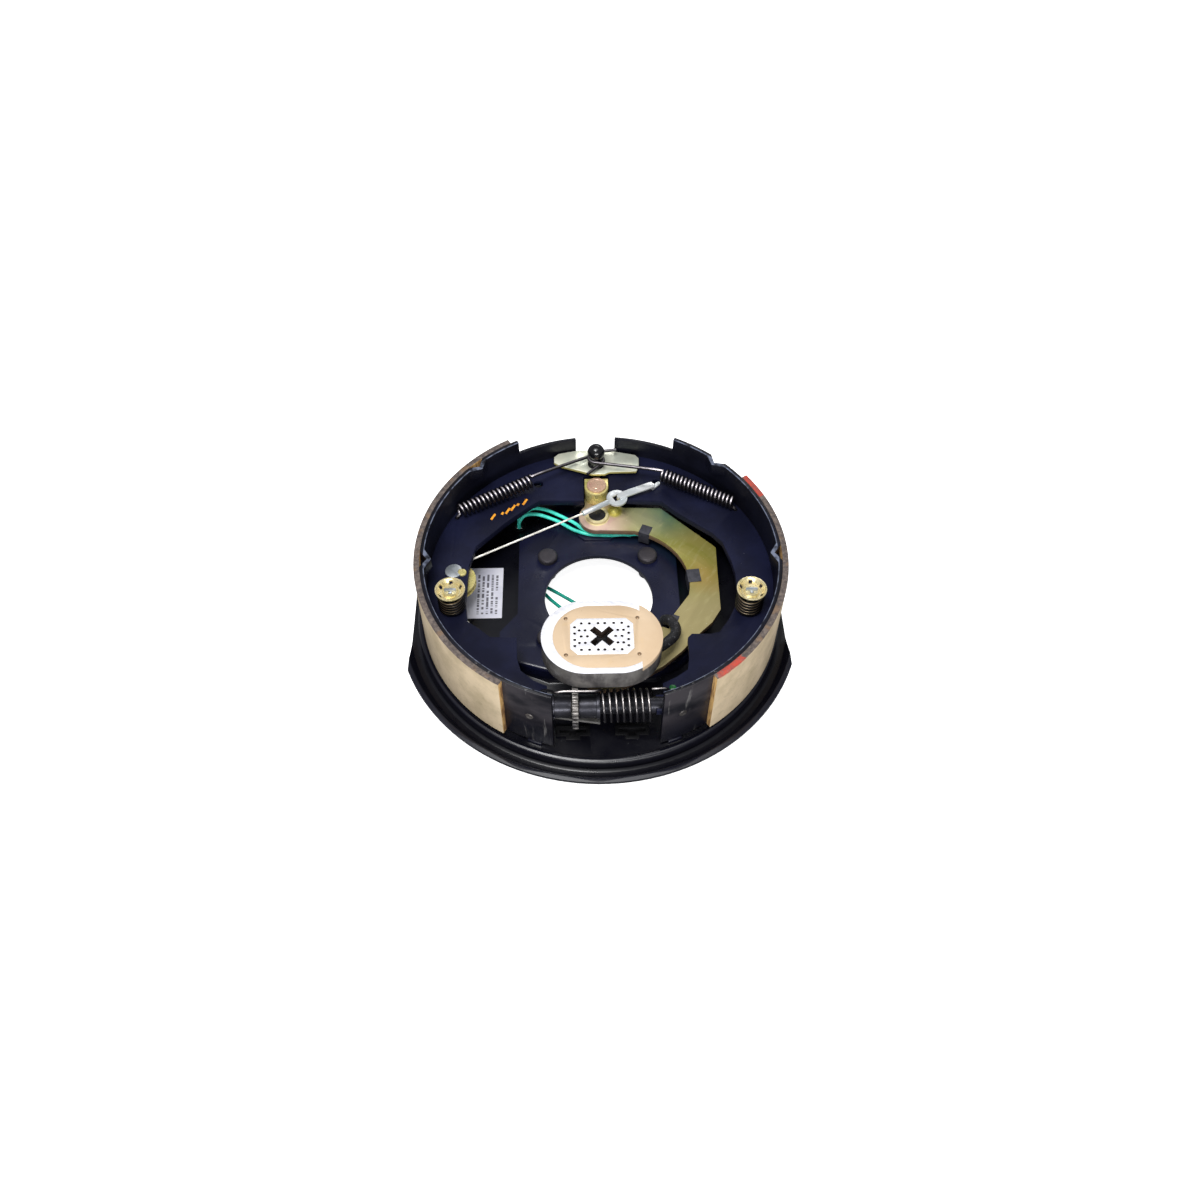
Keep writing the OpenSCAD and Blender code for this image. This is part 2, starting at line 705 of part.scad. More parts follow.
module secondary_lining() {
  color([0.78, 0.74, 0.64])
    shoe_ring(table_r, lining_r, secondary_lining_a[0], secondary_lining_a[1], shoe_z, shoe_top);
}

// Route of a return spring: up through the hole in the web, along the coil and round the anchor post
function return_route(hole, a, b, turns, hook_z, wrap, tail) =
  let (
    a3 = [a[0], a[1], spring_low_z],
    b3 = [b[0], b[1], spring_high_z],
    coil = helix(a3, b3, coil_r, turns, 8, [0, 0, 1], 270),
    top = coil[len(coil) - 1],
    centre = [anchor_x, anchor_y],
    reach = centre - [top[0], top[1]],
    heading = atan2(reach[1], reach[0]) + asin(hook_r / norm(reach)),
    start = heading + 90,
    end = start - wrap,
    leave = centre + hook_r * [cos(end), sin(end)] + tail * [sin(end), -cos(end)]
  )
  concat(
    [[hole[0], hole[1], web_low - 2], [hole[0], hole[1], web_top]],
    coil,
    arc(centre, hook_r, hook_z, start, end, 12),
    [[leave[0], leave[1], hook_z]]
  );

module return_spring_right() {
  color([0.1, 0.1, 0.11])
    wire_along(return_route(spring_hole_right, spring_a_right, spring_b_right, return_turns_right,
                            hook_z_right, 160, 16), wire_r);
}

module return_spring_left() {
  color([0.08, 0.08, 0.09])
    wire_along(return_route(spring_hole_left, spring_a_left, spring_b_left, return_turns_left,
                            hook_z_left, 165, 14.8), wire_r);
}

// A hold-down: a pin from behind the plate, a spring on the web and a cup that the pin locks
module hold_pin(at, rim_z) {
  head_t = 1.5;
  head_r = 5;
  paddle_l = 7.6;
  paddle_w = 1.8;
  paddle_z = rim_z - 1.4;
  color([0.75, 0.75, 0.77]) {
    post(at, head_r, floor_low - head_t, floor_low);
    post(at, hold_pin_r, floor_low - eps, paddle_z - 3.4);
    translate([at[0] - paddle_w / 2, at[1] - hold_pin_r, paddle_z - 3.5])
      cube([paddle_w, 2 * hold_pin_r, 3]);
    translate([at[0] - paddle_l / 2, at[1] - paddle_w / 2, paddle_z - 0.6])
      cube([paddle_l, paddle_w, 1.6]);
    translate([at[0] - paddle_w / 2, at[1] - paddle_w / 2, paddle_z - 3.5])
      cube([paddle_w, paddle_w, 4]);
  }
}

module hold_down_pin_right() {
  hold_pin(hold_right, cup_z_right);
}

module hold_down_pin_left() {
  hold_pin(hold_left, cup_z_left);
}

module hold_spring(at, rim_z) {
  z0 = web_top + hold_wire_r + 0.15;
  z1 = rim_z - 4.3 - hold_wire_r;
  color([0.06, 0.06, 0.06])
    wire_along(helix([at[0], at[1], z0], [at[0], at[1], z1], hold_coil_r, hold_turns, 14, [0, 1, 0]),
               hold_wire_r);
}

module hold_down_spring_right() {
  hold_spring(hold_right, cup_z_right);
}

module hold_down_spring_left() {
  hold_spring(hold_left, cup_z_left);
}

module hold_cup(at, rim_z) {
  bowl_z = rim_z - 3.6;
  hub_z = rim_z - 2.1;
  slot_l = 2 * hold_pin_r + 0.6;
  slot_w = 2.4;
  window_w = 2.4;
  section = [
    [0, hub_z - cup_t], [4, hub_z - cup_t], [5.2, bowl_z - cup_t], [7.2, bowl_z - cup_t],
    [cup_r, rim_z - cup_t],
    [cup_r, rim_z], [cup_r - 0.7, rim_z], [6.9, bowl_z], [5.6, bowl_z], [4.4, hub_z], [0, hub_z]
  ];
  color([0.85, 0.75, 0.5])
    translate([at[0], at[1], 0])
      difference() {
        rotate_extrude()
          polygon(section);
        translate([-slot_w / 2, -slot_l / 2, 0])
          cube([slot_w, slot_l, 100]);
        for (a = [30 : 60 : 330])
          rotate([0, 0, a])
            translate([6.6, -window_w / 2, 0])
              cube([1.9, window_w, 100]);
      }
}

module hold_down_cup_right() {
  hold_cup(hold_right, cup_z_right);
}

module hold_down_cup_left() {
  hold_cup(hold_left, cup_z_left);
}

module adjuster_socket() {
  lip_r = 8.4;
  color([0.14, 0.14, 0.16])
    difference() {
      union() {
        x_rod(socket_r, socket_x0, socket_x1);
        x_rod(lip_r, socket_slot_x - 1.2, socket_slot_x);
      }
      x_rod(screw_r + run_fit, socket_slot_x + 2, socket_x1 + 1);
      translate([socket_x0 - 1, adjuster_y - 20, axis_z - slot_h / 2])
        cube([socket_slot_x - socket_x0 + 1, 40, slot_h]);
    }
}

module star_screw() {
  root_r = star_d / 2 - 2;
  step = 360 / star_teeth;
  outline = [
    for (i = [0 : star_teeth - 1]) each [
      star_d / 2 * [cos(i * step), sin(i * step)],
      star_d / 2 * [cos((i + 0.3) * step), sin((i + 0.3) * step)],
      root_r * [cos((i + 0.5) * step), sin((i + 0.5) * step)],
      root_r * [cos((i + 0.8) * step), sin((i + 0.8) * step)]
    ]
  ];
  color([0.16, 0.16, 0.18]) {
    x_rod(screw_r, socket_slot_x + 2.3, star_x0 + 1);
    x_rod(screw_r, star_x0, screw_x1);
    translate([star_x0, adjuster_y, axis_z])
      rotate([90, 0, 90])
        linear_extrude(star_t)
          polygon(outline);
  }
}

module adjuster_nut() {
  color([0.13, 0.14, 0.18])
    difference() {
      union() {
        x_rod(barrel_r, barrel_x0, barrel_x1);
        x_rod(nut_flange_r, barrel_x1 - eps, barrel_x1 + nut_flange_t);
        x_rod(nut_r, barrel_x1, nut_x1);
      }
      x_rod(screw_r + run_fit, barrel_x0 - 1, screw_x1 + 4);
      translate([nut_slot_x, adjuster_y - 20, axis_z - slot_h / 2])
        cube([20, 40, slot_h]);
    }
}

module adjuster_spring() {
  start = 38;
  tail_y = -103;
  tail_z = axis_z + 16.4;
  x0 = barrel_x1 + nut_flange_t + adjuster_wire_r + 0.3;
  x1 = 32;
  coil = helix([x0, adjuster_y, axis_z], [x1, adjuster_y, axis_z], adjuster_coil_r, adjuster_turns, 12,
               [0, 0, 1], start);
  tail_left = [
    [tail_hole_left[0], tail_hole_left[1], web_low - 1.5],
    [tail_hole_left[0], tail_hole_left[1], web_top + 1], [-38, -95, web_top + 3.4],
    [-33.5, -99, web_top + 8.9], [-29.5, tail_y, tail_z - 1], [-26, tail_y, tail_z], [-5, tail_y, tail_z],
    [-2.4, -101.4, tail_z - 1.4], [-1.2, -98.5, tail_z - 5]
  ];
  tail_right = [
    [36, -95.6, web_top + 4.1], [40.5, -95.2, web_top + 3.3],
    [tail_hole_right[0], tail_hole_right[1], web_top + 1],
    [tail_hole_right[0], tail_hole_right[1], web_low - 1.5]
  ];
  color([0.3, 0.29, 0.28])
    wire_along(concat(tail_left, coil, tail_right), adjuster_wire_r);
}

module adjuster_lever() {
  outline = [
    [-54, -79], [-50, -76.4], [-46, -79], [-41, -90.6], [-36, -93.6], [-20, -95.5], [-8, -98.5],
    [-1.8, -103.5], [-1.8, -107.2], [-32, -102.1], [-38, -101.8], [-44, -102.6], [-49.5, -100.6],
    [-51.6, -95]
  ];
  tab_h = 2.6;
  color([0.85, 0.85, 0.82]) {
    difference() {
      translate([0, 0, lever_low])
        linear_extrude(lever_t)
          polygon(outline);
      post(lever_at, lever_pin_r + run_fit, lever_low - 1, lever_top + 1);
    }
    for (x = [-29, -23.6])
      translate([x - 1.7, -101.8, lever_top - eps])
        cube([3.4, 1.2, tab_h]);
    post(lever_hook, lever_hook_r, lever_top - eps, lever_hook_z + 2.4);
  }
}

module lever_pin() {
  head_t = 1.4;
  color([0.5, 0.5, 0.52]) {
    post(lever_at, lever_pin_r, lever_low - gap, web_top);
    post(lever_at, lever_pin_r + 1.6, web_top, web_top + head_t);
    post(lever_at, lever_pin_r + 1.6, lever_top + gap, web_low);
    post(lever_at, lever_pin_r + 1.6, lever_low - gap - head_t, lever_low - gap);
  }
}

// A flat bar in the plan from one place to another
module bar(from, to, width, z0, z1) {
  run = to - from;
  translate([from[0], from[1], z0])
    rotate([0, 0, atan2(run[1], run[0])])
      translate([0, -width / 2, 0])
        cube([norm(run), width, z1 - z0]);
}

// A torsion spring on the pin of the lever
module lever_spring() {
  spring_wire = 0.7;
  r = lever_pin_r + 1.6 + 0.4 + spring_wire;
  turns = 4.5;
  pitch = 2 * spring_wire + gap;
  z0 = lever_top + gap + spring_wire + 0.3;
  z1 = z0 + turns * pitch;
  coil = helix([lever_at[0], lever_at[1], z0], [lever_at[0], lever_at[1], z1], r, turns, 10, [0, 1, 0]);
  color([0.5, 0.5, 0.5])
    wire_along(coil, spring_wire);
}

module cable_hook() {
  strip_w = 5.6;
  strip_t = 1.2;
  strip_top = eyelet_top + strip_t;
  tip_w = 2.6;
  tip_low = web_top + gap;
  tip_top = tip_low + strip_t;
  start = eyelet_at + 1.3 * unit(hook_strip_end - eyelet_at);
  color([0.85, 0.87, 0.88]) {
    bar(start, hook_strip_end, strip_w, eyelet_top, strip_top);
    post(start, 1.2, eyelet_low - 0.8, strip_top - eps);
    bar(hook_strip_end - [0.9, 0.9], hook_strip_end + [0.4, 0.4], tip_w, tip_low, strip_top - 2 * eps);
    bar(hook_strip_end, hook_tip, tip_w, tip_low, tip_top);
    post(hook_tip, tip_w / 2, web_low - 1, tip_top);
  }
}

module cable_eyelet() {
  run = crimp_end - eyelet_at;
  angle = atan2(run[1], run[0]);
  color([0.86, 0.87, 0.88])
    difference() {
      union() {
        post(eyelet_at, eyelet_r, eyelet_low, eyelet_top);
        translate([eyelet_at[0], eyelet_at[1], eyelet_mid])
          rotate([0, 0, angle])
            rotate([0, 90, 0])
              translate([0, 0, eyelet_r - 0.8])
                cylinder(r = crimp_r, h = norm(run) - eyelet_r + 0.8);
      }
      translate([eyelet_at[0], eyelet_at[1], 0])
        rotate([0, 0, angle])
          translate([-eyelet_hole_w / 2, -eyelet_hole_w / 2, 0])
            cube([eyelet_hole_w, eyelet_hole_w, 60]);
    }
}

// Route of the cable: straight to the guide, round its groove and on to the lever
function cable_route() =
  let (
    r = groove_r + cable_r + 0.1,
    reach_in = guide_at - crimp_end,
    first = crimp_end + gap * unit(reach_in),
    touch = atan2(reach_in[1], reach_in[0]) - asin(r / norm(reach_in)) - 90,
    reach_out = lever_hook - guide_at,
    leave = atan2(reach_out[1], reach_out[0]) - acos(r / norm(reach_out)),
    heading = [cos(leave + 90), sin(leave + 90)],
    run_out = sqrt(norm(reach_out) ^ 2 - r ^ 2) - loop_r - 1,
    last = guide_at + r * [cos(leave), sin(leave)] + run_out * heading
  )
  concat(
    [[first[0], first[1], eyelet_mid]],
    arc(guide_at, r, groove_z, touch, leave, 10),
    [[last[0], last[1], lever_hook_z]]
  );

module adjuster_cable() {
  color([0.9, 0.9, 0.9])
    wire_along(cable_route(), cable_r, 8);
}

module cable_end_loop() {
  color([0.8, 0.8, 0.8])
    translate([lever_hook[0], lever_hook[1], lever_hook_z])
      rotate_extrude()
        translate([loop_r, 0])
          circle(r = cable_r, $fn = 24);
}

module cable_guide() {
  color([0.8, 0.74, 0.45])
    difference() {
      union() {
        post(guide_at, groove_r, groove_z - groove_w / 2, groove_z + groove_w / 2);
        post(guide_at, flange_r, groove_z - groove_w / 2 - flange_t, groove_z - groove_w / 2);
        post(guide_at, flange_r, groove_z + groove_w / 2, groove_z + groove_w / 2 + flange_t);
        post(guide_at, groove_r - 3, groove_z, web_low);
        post(lug_at, lug_r, groove_z, web_top + 1.2);
      }
      post(guide_at, guide_pin_r, -50, 50);
    }
}

module cable_guide_pin() {
  head_r = 5.9;
  head_t = 1.8;
  tail_r = guide_pin_r + 1.5;
  low = groove_z - groove_w / 2 - flange_t;
  color([0.72, 0.75, 0.76]) {
    post(guide_at, guide_pin_r, low, web_top);
    difference() {
      post(guide_at, head_r, web_top, web_top + head_t);
      post(lug_at, lug_r, -50, 50);
    }
    post(guide_at, tail_r, low - 1.5, low);
  }
}

module actuating_arm() {
  inner_centre = [14.5, 3];
  inner_r = 49.4;
  outline = [
    [40.5, -69], [54, -57], [68, -41.5], [76.7, -33], [83.4, -22], [84.1, 10], [84.9, 33.5], [82.8, 36],
    [47, 72.7], [20, 73.5], [9.2, 80], [9.2, block_end_y], [-8.6, block_end_y], [-8.6, 76], [-12, 68],
    [0, 52],
    each bend(inner_centre, inner_r, 75, -14, 12),
    [51, -25.5], [47.6, -34], [46.6, -38.2], [42.5, -36.3], [32, -40], [20, -50], [10, -59.4], [-4, -63],
    [0, -86.4], [12, -85], [24, -79]
  ];
  lobe_r = 13.3;
  dome_r = 4.2;
  color([0.72, 0.66, 0.4])
    difference() {
      union() {
        translate([0, 0, arm_low])
          linear_extrude(arm_t)
            polygon(outline);
        post([pivot_x, pivot_y], lobe_r, arm_low, arm_top);
        post([magnet_x, magnet_y], lobe_r, arm_low, arm_top);
        post([pivot_x, pivot_y], collar_r, arm_top - eps, arm_top + collar_h);
        translate([13.1, 69.8, arm_top - 0.8])
          sphere(r = dome_r);
      }
      post([pivot_x, pivot_y], pivot_r + run_fit, -50, 50);
      post(block_at, rivet_r, -50, 50);
      post([magnet_x, magnet_y], magnet_post_r, -50, 50);
      translate([0, 0, arm_low - 10])
        post([13.1, 69.8], 10, 0, 10);
    }
}

module arm_block() {
  color([0.78, 0.7, 0.42])
    difference() {
      union() {
        post(block_at, block_r, arm_top, block_top);
        translate([block_at[0] - block_r, block_at[1], arm_top])
          cube([2 * block_r, block_end_y - block_at[1], block_top - arm_top]);
      }
      post(block_at, rivet_r, -50, 50);
    }
}

module block_rivet() {
  color([0.75, 0.58, 0.5]) {
    post(block_at, rivet_r, arm_low, block_top);
    post(block_at, rivet_head_r, block_top, block_top + rivet_head_h);
    post(block_at, rivet_head_r, arm_low - rivet_head_h, arm_low);
  }
}

// Tape clips round the inner edge of the arm. The first two hold both leads under it.
module wire_clips() {
  drop = arm_low - 6.8;
  color([0.05, 0.05, 0.06]) {
    tape_clip([34.04, 48.37], 66.7, 8, 7.3, drop, 0.5);
    tape_clip([63.7, 7.56], 5.3, 11.5, 8, drop, 0.7);
    tape_clip([49.7, -28.8], -21.8, 5.4, 4.3, 0, 0.2);
  }
}

// One clip at a place on the arm's edge. Its tape lies on the arm, turns down past the edge and, with a drop,
// goes back under what it holds.
module tape_clip(at, angle, length, over, drop, edge_gap) {
  skin_t = 0.5;
  under = drop > 0 ? skin_t : 0;
  cavity_z = drop > 0 ? arm_low - drop : arm_low - 1;
  translate([at[0], at[1], 0])
    rotate([0, 0, angle])
      difference() {
        translate([-edge_gap - skin_t, -length / 2, arm_low - drop - under])
          cube([edge_gap + skin_t + over, length, under + drop + arm_t + skin_t]);
        translate([-edge_gap, -length, cavity_z])
          cube([edge_gap + over + 1, 2 * length, arm_top - cavity_z]);
      }
}

// The wide part of the post ends below the narrow part of the bore at the end of the travel
module magnet_post() {
  at = [magnet_x, magnet_y];
  cross_floor = magnet_z - cross_depth;
  shoulder_z = cross_floor - cross_floor_t - magnet_travel - 0.1;
  color([0.45, 0.45, 0.46]) {
    post(at, magnet_post_r + 2.5, arm_low - 2, arm_low);
    post(at, magnet_post_r, arm_low - eps, shoulder_z);
    post(at, tip_r, shoulder_z - eps, cross_floor + 0.05);
    post(at, tip_r - 1, cross_floor, cross_floor + 0.05 + retainer_t);
    post(at, magnet_post_r + 2.5, arm_top, arm_top + 1.5);
  }
}

module magnet_spring() {
  at = [magnet_x, magnet_y];
  spring_wire = 1;
  z0 = arm_top + spring_wire + 0.2;
  z1 = magnet_low - spring_wire - 0.2;
  color([0.3, 0.3, 0.3])
    wire_along(helix([at[0], at[1], z0], [at[0], at[1], z1], 9.5, 5, 12, [0, 1, 0]), spring_wire);
}

// The locked piece on top of the post, inside the cross shaped slot of the core
module magnet_retainer() {
  length = 2 * cross_arm - 1.2;
  width = cross_w - 1;
  color([0.06, 0.06, 0.06])
    difference() {
      translate([magnet_x, magnet_y, magnet_z - cross_depth + 0.05])
        for (a = [45, 135])
          rotate([0, 0, a])
            translate([-length / 2, -width / 2, 0])
              cube([length, width, retainer_t]);
      post([magnet_x, magnet_y], tip_r - 1, 0, magnet_z);
    }
}

// The space inside the housing, from the floor of the cup to its open front
module magnet_cavity(inset) {
  translate([magnet_x + cavity_shift / 2, magnet_y, 0])
    stadium(magnet_l - 2 * wall - cavity_shift - 2 * inset, magnet_w - 2 * wall - 2 * inset,
            magnet_low + floor_t, magnet_z + 1);
}

// The part of the front that the friction material covers out to the right hand edge
module face_zone(z0, z1) {
  translate([magnet_x + magnet_l / 2 - face_zone_l, magnet_y - magnet_w, z0])
    cube([40, 2 * magnet_w, z1 - z0]);
}

module magnet_housing() {
  color([0.8, 0.8, 0.82])
    difference() {
      translate([magnet_x, magnet_y, 0])
        stadium(magnet_l, magnet_w, magnet_low, magnet_z);
      magnet_cavity(0);
      face_zone(magnet_z - face_t, magnet_z + 1);
      post([magnet_x, magnet_y], magnet_post_r + run_fit, -50, 80);
    }
}

// Outline of the core: a rectangle with its corners cut off
module core_block(grow, z0, z1) {
  l = core_l / 2 + grow;
  w = core_w / 2 + grow;
  c = core_chamfer;
  translate([magnet_x, magnet_y, z0])
    linear_extrude(z1 - z0)
      polygon([[-l, -w + c], [-l + c, -w], [l - c, -w], [l, -w + c], [l, w - c], [l - c, w], [-l + c, w],
               [-l, w - c]]);
}

module magnet_core() {
  rows = [
    [10.2, [-12.9, -7.8, -2.3, 2, 7.7, 12.8]], [7.2, [-17.2, 16.9]], [4.7, [-14.3, -10.6, 10.1, 13.7]],
    [2.3, [-17.2, 16.9]], [0, [-13.1, -9.2, 8.6, 12.6]], [-2.6, [-17.2, 16.7]],
    [-5, [-14.3, -10.6, 9.9, 13.5]],
    [-7.3, [-17.2, 16.6]], [-10.3, [-13.1, -8, -2.5, 1.5, 7.3, 12.3]]
  ];
  color([0.9, 0.9, 0.92])
    difference() {
      core_block(0, magnet_low + floor_t, magnet_z);
      post([magnet_x, magnet_y], magnet_post_r + run_fit, -50, magnet_z - cross_depth - cross_floor_t);
      post([magnet_x, magnet_y], tip_r + run_fit, -50, magnet_z);
      translate([magnet_x, magnet_y, magnet_z - cross_depth])
        for (a = [45, 135])
          rotate([0, 0, a])
            translate([-cross_arm, -cross_w / 2, 0])
              cube([2 * cross_arm, cross_w, 20]);
      for (row = rows)
        for (x = row[1])
          post([magnet_x + x, magnet_y + row[0]], perforation_r, magnet_z - 3, magnet_z + 1);
    }
}

module magnet_coil() {
  low = magnet_low + floor_t;
  high = magnet_z - face_t - 0.5;
  color([0.72, 0.45, 0.2])
    difference() {
      intersection() {
        magnet_cavity(0.5);
        translate([-100, -200, low])
          cube([200, 200, high - low]);
      }
      core_block(0.4, low - 1, high + 1);
    }
}

module magnet_face() {
  dot_r = 1;
  color([0.9, 0.78, 0.62])
    difference() {
      intersection() {
        union() {
          magnet_cavity(0);
          intersection() {
            translate([magnet_x, magnet_y, 0])
              stadium(magnet_l, magnet_w, magnet_low, magnet_z);
            face_zone(magnet_z - face_t, magnet_z);
          }
        }
        translate([-100, -200, magnet_z - face_t])
          cube([200, 200, face_t]);
      }
      core_block(0, 0, 100);
      for (x = [-22.8, 22.9])
        for (y = [-14.1, 14.1])
          post([magnet_x + x, magnet_y + y], dot_r, magnet_z - 2, magnet_z + 1);
    }
}

module wire_sleeve() {
  color([0.05, 0.05, 0.05])
    wire_along(sleeve_route, sleeve_r, 10);
}

module magnet_lead_upper() {
  color([0.1, 0.8, 0.7])
    wire_along(upper_lead_route, lead_r, lead_sides);
}

module magnet_lead_lower() {
  color([0.1, 0.8, 0.7])
    wire_along(lower_lead_route, lead_r, lead_sides);
}

module free_lead_upper() {
  color([0.05, 0.55, 0.5])
    wire_along(free_upper_route, lead_r, lead_sides);
}

module free_lead_lower() {
  color([0.05, 0.55, 0.5])
    wire_along(free_lower_route, lead_r, lead_sides);
}

backing_plate();
mounting_studs();
anchor_post();
anchor_plate();
arm_pivot_pin();
lead_grommet();
label();
slot_plugs();
primary_table();
primary_web();
primary_lining();
secondary_table();
secondary_web();
secondary_lining();
return_spring_right();
return_spring_left();
hold_down_pin_right();
hold_down_pin_left();
hold_down_spring_right();
hold_down_spring_left();
hold_down_cup_right();
hold_down_cup_left();
adjuster_socket();
star_screw();
adjuster_nut();
adjuster_spring();
adjuster_lever();
lever_pin();
lever_spring();
cable_hook();
cable_eyelet();
adjuster_cable();
cable_end_loop();
cable_guide();
cable_guide_pin();
actuating_arm();
arm_block();
block_rivet();
wire_clips();
magnet_post();
magnet_spring();
magnet_retainer();
magnet_housing();
magnet_core();
magnet_coil();
magnet_face();
wire_sleeve();
magnet_lead_upper();
magnet_lead_lower();
free_lead_upper();
free_lead_lower();
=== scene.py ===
"""The looks of an electric trailer brake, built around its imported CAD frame. Lengths are in metres."""
import math

import bmesh
import bpy
from mathutils import Matrix, Vector


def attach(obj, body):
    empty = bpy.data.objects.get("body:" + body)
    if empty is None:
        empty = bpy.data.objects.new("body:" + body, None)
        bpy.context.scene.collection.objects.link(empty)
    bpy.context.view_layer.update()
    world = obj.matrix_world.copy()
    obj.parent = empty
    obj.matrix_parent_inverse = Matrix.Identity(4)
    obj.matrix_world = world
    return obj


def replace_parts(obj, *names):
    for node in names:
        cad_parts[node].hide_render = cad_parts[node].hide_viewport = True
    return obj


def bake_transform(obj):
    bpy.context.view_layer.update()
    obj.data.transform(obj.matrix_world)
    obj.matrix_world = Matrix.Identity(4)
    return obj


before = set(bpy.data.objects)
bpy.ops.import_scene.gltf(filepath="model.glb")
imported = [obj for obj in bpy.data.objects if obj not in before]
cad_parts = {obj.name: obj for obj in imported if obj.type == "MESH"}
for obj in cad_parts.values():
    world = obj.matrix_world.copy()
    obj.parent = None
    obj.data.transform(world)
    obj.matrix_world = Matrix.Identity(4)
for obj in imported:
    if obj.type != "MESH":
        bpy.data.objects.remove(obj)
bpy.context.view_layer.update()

MM = 0.001
UP = Vector((0, 0, 1))
AHEAD = Vector((0, 1, 0))
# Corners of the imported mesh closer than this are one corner, and faces turned less than this are one face
MERGE = 0.004 * MM
FLAT = math.radians(0.4)
# Edges that turn more than this are rounded
SHARP = math.radians(28)

# The camera of the photograph, found by fitting the known shapes of the brake
CAMERA_TARGET = Vector((1.046, 3.677, -5.0)) * MM
CAMERA_ELEVATION = math.radians(52.219)
CAMERA_AZIMUTH = math.radians(-2.119)
CAMERA_ROLL = math.radians(0.815)
CAMERA_DISTANCE = 787.58 * MM
CAMERA_LENS = 32.99
FLOOR_Z = -17.7 * MM

# Sizes shared with the CAD part
SHOE_CENTRE = Vector((1.3, 1.7, 0)) * MM
LINING_R = 126 * MM
TABLE_R = 122 * MM
RIM_R = 119.2 * MM
SHOE_TOP = 52.15 * MM
WEB_LOW = 21.075 * MM
WEB_TOP = 26.075 * MM
ANCHOR = Vector((0.3, 105, 0)) * MM
PIVOT = Vector((0.3, 65, 0)) * MM
MAGNET = Vector((-0.2, -73, 0)) * MM
MAGNET_TOP = 57 * MM
ADJUSTER_Y = -103.5 * MM
AXIS_Z = 23.575 * MM
HOLD_RIGHT = Vector((100.6, -28.5, 0)) * MM
HOLD_LEFT = Vector((-99.6, -24.5, 0)) * MM
CUP_RIGHT = WEB_TOP + 20.9 * MM
CUP_LEFT = WEB_TOP + 19.7 * MM
GUIDE = Vector((-100.5, 5.8, 0)) * MM


def point(x, y, z):
    """A point given in millimetres."""
    return Vector((x, y, z)) * MM


def unit(degrees):
    """A level direction."""
    return Vector((math.cos(math.radians(degrees)), math.sin(math.radians(degrees)), 0))


# Meshes and curves


def shade(mesh, angle):
    """Smooth faces, with the edges that turn more than angle kept sharp."""
    work = bmesh.new()
    work.from_mesh(mesh)
    limit = math.radians(angle)
    for face in work.faces:
        face.smooth = True
    for edge in work.edges:
        edge.smooth = len(edge.link_faces) == 2 and edge.calc_face_angle(0) < limit
    work.to_mesh(mesh)
    work.free()


def loose(name, mesh, material, angle=32):
    """An object on no body yet, for a piece that runs between two."""
    obj = bpy.data.objects.new(name, mesh)
    bpy.context.scene.collection.objects.link(obj)
    obj.data.materials.append(material)
    shade(mesh, angle)
    return obj


def piece(name, mesh, material, body, angle=32):
    """A finished object that rides on a body."""
    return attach(loose(name, mesh, material, angle), body)


def mesh_from(name, points, faces):
    mesh = bpy.data.meshes.new(name)
    mesh.from_pydata([tuple(p) for p in points], [], faces)
    mesh.update()
    return mesh


def smooth_route(points, step):
    """Points along a curve that passes through the given points, about step apart."""
    ends = [points[0] * 2 - points[1], *points, points[-1] * 2 - points[-2]]
    out = []
    for i in range(len(points) - 1):
        p0, p1, p2, p3 = ends[i:i + 4]
        knots = [0.0]
        for a, b in ((p0, p1), (p1, p2), (p2, p3)):
            knots.append(knots[-1] + max((b - a).length, 1e-6) ** 0.5)
        t0, t1, t2, t3 = knots
        count = max(1, round((p2 - p1).length / step))
        for k in range(count):
            t = t1 + (t2 - t1) * k / count
            a1 = p0 * ((t1 - t) / (t1 - t0)) + p1 * ((t - t0) / (t1 - t0))
            a2 = p1 * ((t2 - t) / (t2 - t1)) + p2 * ((t - t1) / (t2 - t1))
            a3 = p2 * ((t3 - t) / (t3 - t2)) + p3 * ((t - t2) / (t3 - t2))
            b1 = a1 * ((t2 - t) / (t2 - t0)) + a2 * ((t - t0) / (t2 - t0))
            b2 = a2 * ((t3 - t) / (t3 - t1)) + a3 * ((t - t1) / (t3 - t1))
            out.append(b1 * ((t2 - t) / (t2 - t1)) + b2 * ((t - t1) / (t2 - t1)))
    return [*out, points[-1].copy()]


def frames_along(points):
    """Point, side and second side at each point of a route, carried along it without twist."""
    side = None
    out = []
    for i, p in enumerate(points):
        t = (points[min(i + 1, len(points) - 1)] - points[max(i - 1, 0)]).normalized()
        seed = side or (UP if abs(t.z) < 0.9 else Vector((1, 0, 0)))
        side = (seed - t * seed.dot(t)).normalized()
        out.append((p, side, t.cross(side)))
    return out


def tube(name, points, radius, sides=12, height=None):
    """A closed tube along points. height(turn, i), if given, is added to the radius around and along it."""
    rings = frames_along(points)
    verts = []
    for i, (p, a, b) in enumerate(rings):
        for k in range(sides):
            turn = math.tau * k / sides
            r = radius + (height(turn, i) if height else 0)
            verts.append(p + a * (r * math.cos(turn)) + b * (r * math.sin(turn)))
    faces = []
    for i in range(len(rings) - 1):
        for k in range(sides):
            n = (k + 1) % sides
            faces.append((i * sides + k, i * sides + n, (i + 1) * sides + n, (i + 1) * sides + k))
    faces.append(tuple(reversed(range(sides))))
    faces.append(tuple(range((len(rings) - 1) * sides, len(rings) * sides)))
    return mesh_from(name, verts, faces)


def helix(a, b, radius, turns, per_turn, up, start=90.0):
    """Points of a coil from a to b, in the same sense as the CAD part's coils."""
    u = (b - a).normalized()
    v = up.cross(u).normalized()
    w = u.cross(v)
    count = round(turns * per_turn)
    out = []
    for i in range(count + 1):
        turn = math.radians(start) + math.tau * i / per_turn
        out.append(a + (b - a) * (i / count) + v * (radius * math.cos(turn)) + w * (radius * math.sin(turn)))
    return out


